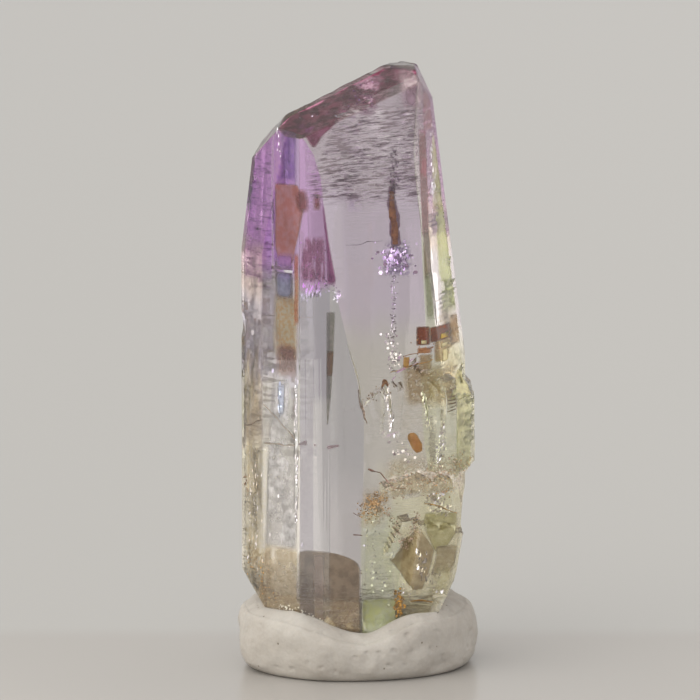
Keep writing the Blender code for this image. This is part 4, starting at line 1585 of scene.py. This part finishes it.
# Swarms, in mm: the centre line in X and Z, the spread round it, the count, the sizes and the seed.
SWARMS: tuple[Swarm, ...] = (
    # The etched steps as painted shade and painted highlight: dark blades for their shaded sides, light
    # blades for their lit edges.
    Swarm("etched_steps_dark", ETCH_DARK, Seed.BLADE, ((-0.85, 19.6), (2.15, 20.8)), (0.35, 0.95), 110,
        (0.018, 0.034), 301, (6.5, 0.4, 0.36), (0.01, 0.06), False, 5, True),
    Swarm("etched_steps_light", ETCH_HIGHLIGHT, Seed.BLADE, ((-0.85, 19.6), (2.15, 20.8)), (0.35, 0.95), 70,
        (0.016, 0.03), 302, (6, 0.4, 0.36), (0.01, 0.05), False, 5, True),
    Swarm("roof_flakes", PURPLE_FLAKE, Seed.PLATE, ((-0.45, 22.2), (0.5, 22.5)), (0.2, 0.28), 60,
        (0.015, 0.04), 303, depth=(0.02, 0.15)),
    Swarm("roof_flakes_pale", LILAC_FLAKE, Seed.PLATE, ((-2.4, 21.4), (2.2, 23)), (0.3, 0.22), 90,
        (0.012, 0.035), 304, depth=(0.02, 0.15)),
    grains("rod_head", InclusionFinish("grey_purple_lumps", "#857283", "#BBACBB", grain=0.06),
        ((1.32, 20.4), (1.36, 19)), (0.1, 0.12), 46, (0.02, 0.06), 305, depth=(0.06, 0.3)),
    Swarm("rod_glints", SILVER, Seed.PLATE, ((1.34, 20.2), (1.38, 18.9)), (0.09, 0.12), 40, (0.02, 0.045),
        306),
    glints("flake_cluster", ((0.95, 16.3), (1.95, 16.3)), (0.2, 0.28), 80, (0.04, 0.1), 307,
        depth=(0.08, 0.35), jitter=0.16),
    glints("flake_cluster_bright", ((1, 16.2), (1.75, 16.3)), (0.16, 0.26), 60, (0.02, 0.06), 308,
        stretch=(0.7, 1.6, 1), depth=(0.05, 0.12), finish=LILAC_FLAKE),
    glints("stem_glints", ((1.36, 15.8), (1.34, 14.2), (1.28, 12)), (0.05, 0.1), 90, (0.012, 0.032), 309,
        stretch=(0.7, 2.2, 1), depth=(0.06, 0.2)),
    Swarm("stem_shade", ETCH_DARK, Seed.BLADE, ((1.38, 15.7), (1.36, 14.2), (1.3, 12)), (0.06, 0.1), 60,
        (0.012, 0.03), 310, (0.6, 0.6, 2.4), (0.06, 0.2), False, 90),
    glints("bubble_clusters", ((1.15, 13.4), (1.3, 12.8), (1.42, 12.1)), (0.14, 0.1), 60, (0.02, 0.07), 311,
        jitter=0.15),
    glints("tongue_sparkles", ((-2.15, 16.3), (-1.3, 16.4)), (0.1, 0.3), 80, (0.015, 0.045), 312,
        facing=FLASH_C, jitter=0.2),
    Swarm("tongue_foot_flakes", PURPLE_FLAKE, Seed.PLATE, ((-2.2, 15.7), (-0.9, 15.65)), (0.1, 0.18), 60,
        (0.02, 0.06), 313, jitter=0.5),
    glints("tongue_foot_glints", ((-2.2, 15.1), (-0.9, 15.15)), (0.1, 0.14), 50, (0.012, 0.03), 314,
        facing=FLASH_C),
    glints("white_teeth", ((-2.12, 14.95), (-1.45, 15.05)), (0.05, 0.14), 60, (0.02, 0.06), 315,
        stretch=(0.6, 2.4, 1), depth=(0.05, 0.15), facing=FLASH_C, jitter=0.1),
    glints("stem_shards_left", ((1.05, 11.4), (1.18, 10.8), (1.32, 9.8)), (0.05, 0.15), 60, (0.03, 0.08),
        346, stretch=(0.6, 3, 1), depth=(0.03, 0.08), jitter=0.1),
    glints("stem_shards_middle", ((2.5, 11.2), (2.62, 10.5), (2.73, 9.8)), (0.04, 0.15), 50, (0.025, 0.06),
        347, stretch=(0.6, 3, 1), depth=(0.03, 0.08)),
    glints("stem_shards_right", ((3.3, 9.6), (3.15, 8.9), (3.1, 8.2)), (0.08, 0.15), 60, (0.03, 0.07), 348,
        stretch=(0.6, 2.4, 1), depth=(0.03, 0.08), jitter=0.15),
    glints("white_spot", ((-0.95, 14.85), (-0.75, 14.85)), (0.05, 0.09), 22, (0.03, 0.07), 316, jitter=0.1),
    glints("tongue_white_streaks", ((-3.1, 20.9), (-2.98, 20.4)), (0.07, 0.2), 14, (0.02, 0.035), 317,
        stretch=(0.6, 4.5, 1), depth=(0.05, 0.1), facing=FLASH_B, jitter=0.1),
    glints("cloud_plates", ((-3.2, 10.6), (-2.8, 8.8), (-2.75, 5.4)), (0.28, 0.6), 46, (0.02, 0.07), 340,
        stretch=(0.8, 1.7, 1), depth=(0.06, 0.25), facing=FLASH_B, jitter=0.14),
    glints("white_edge_plates", ((-2.37, 11.6), (-2.37, 9.2), (-2.36, 6.4)), (0.03, 0.2), 120,
        (0.015, 0.035), 341, stretch=(0.8, 6, 1), depth=(0.04, 0.1), facing=FLASH_B),
    glints("bluish_plates", ((-2.97, 11.3), (-2.96, 10.2)), (0.04, 0.1), 30, (0.03, 0.07), 342,
        stretch=(0.8, 2.2, 1), depth=(0.05, 0.12), facing=FLASH_B,
        finish=FlakeFinish("open_fracture_bluish", "#D4E0F6")),
    glints("stripe_plates", ((2.86, 20.6), (2.93, 18.2)), (0.05, 0.3), 90, (0.02, 0.05), 343,
        stretch=(0.7, 3.2, 1), depth=(0.03, 0.08), jitter=0.2),
    glints("left_flashes", ((-4.1, 8.2), (-3.9, 3.4)), (0.15, 0.4), 60, (0.015, 0.05), 344,
        stretch=(0.6, 2.6, 1), depth=(0.03, 0.12), facing=FLASH_A, jitter=0.14),
    glints("green_zone_flashes", ((0.5, 5.6), (0.9, 3.4)), (0.3, 0.4), 50, (0.02, 0.07), 345,
        depth=(0.03, 0.12), jitter=0.15),
    grains("block_specks", DARK_SPECK, ((1.7, 11.75), (3.7, 11.9)), (0.2, 0.35), 90, (0.008, 0.022), 318,
        depth=(0.03, 0.2), even=True),
    grains("zone_specks", DARK_SPECK, ((1.7, 11.3), (4, 11.2)), (0.2, 0.45), 90, (0.007, 0.018), 319,
        depth=(0.03, 0.2)),
    grains("block_grains", IRON, ((2.3, 13), (3.5, 12.7)), (0.15, 0.3), 90, (0.012, 0.035), 320,
        depth=(0.03, 0.2)),
    # Painted shade: brown grains round the notch.
    grains("notch_grains", ROSE_CRUST_AND_SHADE, ((0.2, 10.8), (1.1, 11.3)), (0.1, 0.12), 60, (0.012, 0.04), 321,
        depth=(0.06, 0.3)),
    glints("glints_right", ((3.2, 9.1), (3.15, 8.2)), (0.1, 0.15), 36, (0.02, 0.06), 322,
        stretch=(0.7, 1.8, 1), depth=(0.03, 0.15)),
    glints("glints_middle", ((1.5, 9.1), (1.95, 8.4)), (0.16, 0.2), 26, (0.03, 0.09), 323,
        depth=(0.03, 0.15)),
    grains("crust_grains", RUST_CRUST, ((0.15, 6.5), (1, 6.95)), (0.16, 0.22), 170, (0.014, 0.045), 324),
    grains("crust_core", RUST_CRUST, ((0.45, 6.85), (0.75, 6.9)), (0.1, 0.1), 60, (0.02, 0.05), 325,
        depth=(0, 0.06)),
    grains("band_grains", ROSE_CRUST_AND_SHADE, ((1.1, 7.3), (2.2, 7.6), (3.9, 8.2)), (0.2, 0.25), 260, (0.012, 0.04),
        326),
    grains("band_specks", DARK_SPECK, ((1.3, 7.4), (4.1, 8.2)), (0.2, 0.3), 90, (0.008, 0.022), 327),
    # Painted glints: matt cream grains standing in for sparkles in the band.
    grains("band_glints", CREAM, ((1.6, 7.6), (3.6, 7.7)), (0.3, 0.4), 90, (0.012, 0.035), 328),
    grains("vee_left", ROSE_CRUST_AND_SHADE, ((1.1, 6.6), (1.75, 5.2)), (0.08, 0.12), 110, (0.012, 0.036), 329),
    grains("vee_right", ROSE_CRUST_AND_SHADE, ((2.35, 6.3), (1.8, 5)), (0.08, 0.12), 110, (0.012, 0.036), 330),
    grains("vee_specks", DARK_SPECK, ((1.2, 6.4), (1.8, 5.1), (2.3, 6.2)), (0.1, 0.12), 70, (0.01, 0.024),
        331),
    grains("band_end_grains", RUST_CRUST, ((3.4, 7.9), (4.3, 8.3)), (0.2, 0.25), 80, (0.012, 0.035), 349),
    glints("foot_flashes", ((2.3, 4.9), (2.5, 4), (3.3, 3.7)), (0.12, 0.2), 50, (0.02, 0.08), 350,
        stretch=(0.8, 1.8, 1), depth=(0.03, 0.1), jitter=0.2),
    glints("patch_flashes", ((2.9, 6.95), (3.3, 6.3)), (0.2, 0.18), 110, (0.02, 0.07), 351,
        depth=(0.03, 0.1), jitter=0.2),
    grains("right_gold_grains", OCHRE, ((2.6, 7.4), (3.6, 7.3)), (0.25, 0.2), 60, (0.012, 0.03), 332),
    grains("foot_ochre", OCHRE, ((1.55, 3.3), (1.6, 2.5)), (0.1, 0.14), 90, (0.02, 0.06), 333,
        depth=(0, 0.1)),
    Swarm("foot_glints", SILVER, Seed.PLATE, ((1.4, 3.4), (2, 3.1)), (0.2, 0.2), 40, (0.02, 0.05), 334,
        depth=(0, 0.1)),
    grains("left_gold_grains", OCHRE, ((-4.2, 4.3), (-3.4, 3)), (0.15, 0.3), 70, (0.01, 0.03), 335,
        depth=(0.02, 0.12)),
    grains("left_dark_dots", DARK_SPECK, ((-4.35, 7.6), (-4.3, 6.9)), (0.06, 0.15), 30, (0.015, 0.035),
        336),
    grains("left_white_grains", CREAM, ((-3.4, 9), (-2.6, 5.2)), (0.25, 0.5), 40, (0.012, 0.03), 337,
        depth=(0.05, 0.2)),
    grains("roof_edge_specks", DARK_SPECK, ((-2, 20.9), (2.2, 22)), (0.3, 0.1), 60, (0.008, 0.02), 338,
        depth=(0.01, 0.05)),
    # Painted glints: matt cream grains standing in for sparkles where the putty meets the crystal's foot.
    grains("contact_glints", CREAM, ((-3.3, 2.7), (-2.2, 2.6), (-1.3, 2.2)), (0.1, 0.06), 60,
        (0.012, 0.035), 339, depth=(0, 0.06)),
)


@dataclass(frozen=True)
class Inclusions:
    """Everything that shows inside the crystal, each piece just below the front face."""

    veils: tuple[Veil, ...] = FILMS
    threads: tuple[Thread, ...] = THREADS
    swarms: tuple[Swarm, ...] = SWARMS
    zebra_rows: int = 7
    zebra_top: float = 11.15
    zebra_pitch: float = 0.14

    def zebra(self) -> list[Thread]:
        """Return the short dark steps one above the other on the right side."""
        made = []
        for row in range(self.zebra_rows):
            z = self.zebra_top - self.zebra_pitch * row
            path = ((3.42, z), (3.62, z + 0.02), (3.82, z + 0.09))
            made.append(Thread(f"zebra_step_{row}", DARK_SPECK, path, (0.012, 0.018, 0.008), 280 + row, 0.03))
        return made

    def build(self, skin: Skin) -> None:
        """Build every inclusion under the crystal's front."""
        for piece in (*self.veils, *self.threads, *self.zebra(), *self.swarms):
            made = piece.build(skin)
            LOG.info("%s: %d faces", made.name, len(made.data.polygons))


@dataclass
class PuttyPad:
    """The pad of mounting putty, pressed up round the crystal's foot."""

    habit: Habit
    half_length: float = 4.70
    half_depth: float = 4.13
    turn: float = 14.0
    belly: float = 1.05
    contact_share: float = 0.86
    columns: int = 340
    gap: float = 0.012
    shift: float = 0.03
    bed: float = 2.60
    sag: float = 0.82
    rim_drop: float = 0.30
    shoulder_share: float = 0.32
    pocket_drop: float = 0.03
    name: str = "mounting_putty_surface"

    def outline(self, angle: Array) -> Array:
        """Return the pad's outer reach: a turned ellipse with a slight wobble."""
        along = angle - math.radians(self.turn)
        oval = 1.0 / np.sqrt((np.cos(along) / self.half_length) ** 2 + (np.sin(along) / self.half_depth) ** 2)
        return oval * (1.0 + 0.010 * np.sin(2.0 * along + 0.7) + 0.008 * np.sin(5.0 * along))

    def contact_height(self, angle: Array, reach: Array) -> Array:
        """Return where the putty meets the crystal: level behind, sagging below the blade in front."""
        x, y = reach * np.cos(angle), reach * np.sin(angle)
        width = np.where(x < 0.15, 1.72, 1.26)
        dip = self.sag * np.exp(-((x - 0.15) / width) ** 2) * smooth(0.0, -2.2, y)
        return self.bed - dip + 0.02 * np.sin(3.0 * angle + 0.5)

    def build(self) -> bpy.types.Object:
        """Build and dress the putty.

        Each upright section runs from the centre of the underside to the edge it rests on, round the belly
        and shoulder, in to the crystal, down its wall and in below its foot.

        Returns:
            The putty's object.
        """
        angle = np.linspace(-math.pi, math.pi, self.columns, endpoint=False)
        outer = self.outline(angle)
        inner = self.habit.radius(angle, np.full_like(angle, 2.4)) + self.gap
        for _ in range(4):
            contact = self.contact_height(angle, inner)
            inner = self.habit.radius(angle, contact) + self.gap
        inner = np.minimum(inner, outer - 0.12)
        rim = contact - self.rim_drop
        t = np.linspace(0.0, 1.0, 10)[:, None]
        parts = [(t * outer * self.contact_share, np.zeros_like(t * outer))]
        t = np.linspace(0.0, 1.0, 54)[1:, None]
        swing = -math.pi / 2.0 + t * math.pi
        bulge = np.cos(swing)
        shoulder = outer - self.shoulder_share * (outer - inner)
        low_side = outer * self.contact_share + (outer - outer * self.contact_share) * bulge ** 0.75
        high_side = shoulder + (outer - shoulder) * bulge ** 0.8
        side_reach = np.where(t < 0.5, low_side, high_side)
        side_height = np.where(t < 0.5, self.belly * (1.0 + np.sin(swing)),
                               self.belly + (rim - self.belly) * np.sin(np.maximum(swing, 0.0)))
        parts.append((side_reach, side_height))
        t = np.linspace(0.0, 1.0, 34)[1:, None]
        parts.append((shoulder + (inner - shoulder) * t, rim + (contact - rim) * np.sin(t * math.pi / 2.0)))
        t = np.linspace(0.0, 1.0, 14)[1:, None]
        pocket = self.habit.foot - self.pocket_drop
        down = contact + (pocket - contact) * t
        wall = self.habit.radius(np.broadcast_to(angle, down.shape), down) + self.gap
        parts.append((np.minimum(wall, inner), down))
        t = np.linspace(1.0, 0.0, 7)[1:, None]
        parts.append((t * parts[-1][0][-1], np.full((6, self.columns), pocket)))
        reach = np.concatenate([part[0] for part in parts])
        height = np.concatenate([part[1] for part in parts])
        points = np.stack([reach * np.cos(angle) + self.shift, reach * np.sin(angle), height], -1)
        points = self.knead(points, reach / outer, contact)
        made = make_mesh(self.name, points, lattice(len(points), self.columns))
        dress(made, PuttyFinish())
        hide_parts("mounting_putty")
        return made

    def knead(self, points: Array, share: Array, contact: Array) -> Array:
        """Press soft dents, small lumps and a few pits into the free surface, leaving the underside flat."""
        height = points[..., 2]
        free = smooth(0.02, 0.45, height) * smooth(0.50, 0.78, share)
        dents = 0.055 * GrainField(1.1, 61)(points) + 0.016 * GrainField(0.34, 62)(points)
        pits = -0.05 * smooth(1.75, 2.3, GrainField(0.16, 63)(points))
        fine = 0.004 * GrainField(0.10, 64)(points)
        centre = np.array([self.shift, 0.0, self.belly])
        away = (points - centre) * np.array([1.0, 1.0, 1.6])
        away /= np.maximum(np.linalg.norm(away, axis=-1, keepdims=True), 1e-6)
        moved = points + away * (free * (dents + pits + fine))[..., None]
        moved[..., 2] = np.maximum(moved[..., 2], 0.0)
        return moved


@dataclass
class Studio:
    """Floor, soft surrounding light and the camera at the photograph's angle."""

    frame_width: float = 27.24
    centre: Pair = (-0.31, 12.38)
    elevation: float = 8.0
    lens: float = 265.0
    sensor: float = 36.0
    clip: Pair = (0.005, 20.0)
    floor_radius: float = 900.0
    floor_rings: int = 24
    floor_spokes: int = 96
    sky: str = "#FFFDFA"
    surround: float = 0.57
    least_glow: float = 0.05
    lobes: tuple[tuple[Point, float, float], ...] = (
        ((-0.55, -0.30, 0.78), 5.0, 1.35),
        ((-0.50, -0.75, 0.45), 5.0, 1.60),
        ((0.75, 0.55, 0.35), 5.0, 0.60),
        ((0.93, -0.20, 0.30), 5.0, 0.45),
        ((-0.85, 0.30, 0.30), 8.0, 0.30),
        ((0.10, -0.98, 0.15), 5.0, -0.06),
    )
    aim: Point = (0.0, 0.0, 12.0)
    glass_bounces: int = 24
    bounce: tuple[tuple[str, Point, Pair, float, str], ...] = (
        ("bounce_card_left", (-19.0, -12.5, 4.5), (18.0, 10.0), 1.2, "#FFFBF0"),
        ("bounce_card_right", (29.7, -26.8, 11.0), (25.0, 23.0), 0.55, "#F2F0FF"),
    )

    def camera(self) -> None:
        """Place the camera: its distance makes the frame's width fit the lens."""
        data = bpy.data.cameras.new("photo_view")
        data.lens = self.lens
        data.sensor_width = self.sensor
        data.clip_start, data.clip_end = self.clip
        made = link_new("photo_view", data)
        distance = self.frame_width * self.lens / self.sensor
        tilt = math.radians(self.elevation)
        target = Vector((self.centre[0], 0.0, self.centre[1]))
        made.location = (target + Vector((0.0, -math.cos(tilt), math.sin(tilt))) * distance) * MM
        made.rotation_euler = (math.pi / 2.0 - tilt, 0.0, 0.0)
        bpy.context.scene.camera = made

    def floor(self) -> bpy.types.Object:
        """Build the floor as a flat disc of rings.

        Returns:
            The floor's object.
        """
        angle = np.linspace(0.0, FULL_TURN, self.floor_spokes, endpoint=False)
        ring = np.linspace(0.0, 1.0, self.floor_rings)[:, None] ** 2 * self.floor_radius
        points = np.stack([ring * np.cos(angle), ring * np.sin(angle), np.zeros_like(ring * angle)], -1)
        made = make_mesh("studio_floor", points, lattice(*points.shape[:2]))
        made.data.materials.append(FloorFinish().make())
        return made

    def light(self) -> None:
        """Surround the object with soft light: an even level and broad lobes, each a power of a cosine.

        The brightest lobes stand at the viewer's upper left. The last one takes a little light away from
        where the viewer stands.
        """
        world = bpy.data.worlds.new("soft_studio")
        bpy.context.scene.world = world
        world.use_nodes = True
        tree = world.node_tree
        tree.nodes.clear()
        heading = add(tree, "TexCoord").outputs["Generated"]
        level = self.surround
        for direction, tightness, strength in self.lobes:
            toward = add(tree, "VectorMath", {0: heading}, {"operation": "DOT_PRODUCT"})
            toward.inputs[1].default_value = Vector(direction).normalized()
            positive = math_node(tree, "MAXIMUM", toward.outputs["Value"], 0.0)
            lobe = math_node(tree, "POWER", positive, tightness)
            level = math_node(tree, "MULTIPLY_ADD", lobe, strength, level)
        glow = math_node(tree, "MAXIMUM", level, self.least_glow)
        sky = add(tree, "Background", {"Strength": glow}, Color=linear(self.sky))
        add(tree, "OutputWorld", {"Surface": sky.outputs[0]})

    def cards(self) -> None:
        """Stand two small bounce cards beside the view, whose light the crystal's side faces gather.

        The cards themselves aren't seen by the camera.
        """
        for name, place, size, radiance, colour in self.bounce:
            data = bpy.data.lights.new(name, "AREA")
            data.shape = "RECTANGLE"
            data.size, data.size_y = size[0] * MM, size[1] * MM
            data.energy = radiance * math.pi * data.size * data.size_y
            data.color = linear(colour)[:3]
            made = link_new(name, data)
            made.location = Vector(place) * MM
            made.rotation_euler = (Vector(self.aim) - Vector(place)).to_track_quat("-Z", "Y").to_euler()
            made.visible_camera = False

    def quality(self) -> None:
        """Set the colour transform and how many times light may pass through the crystal's faces."""
        scene = bpy.context.scene
        scene.view_settings.view_transform = "Standard"
        scene.view_settings.look = "None"
        cycles = scene.cycles
        cycles.max_bounces = self.glass_bounces
        cycles.diffuse_bounces = 5
        cycles.glossy_bounces = 8
        cycles.transmission_bounces = self.glass_bounces
        cycles.transparent_max_bounces = self.glass_bounces
        cycles.volume_bounces = 0
        cycles.use_adaptive_sampling = True
        cycles.adaptive_threshold = 0.02
        cycles.use_denoising = True


def main() -> None:
    """Build the object piece by piece, then the studio."""
    logging.basicConfig(level=logging.INFO, format="%(message)s")
    habit = Habit()
    skin = Crystal(habit).build()
    Inclusions().build(skin)
    PuttyPad(habit).build()
    studio = Studio()
    studio.camera()
    studio.floor()
    studio.light()
    studio.cards()
    studio.quality()


if __name__ == "__main__":
    main()
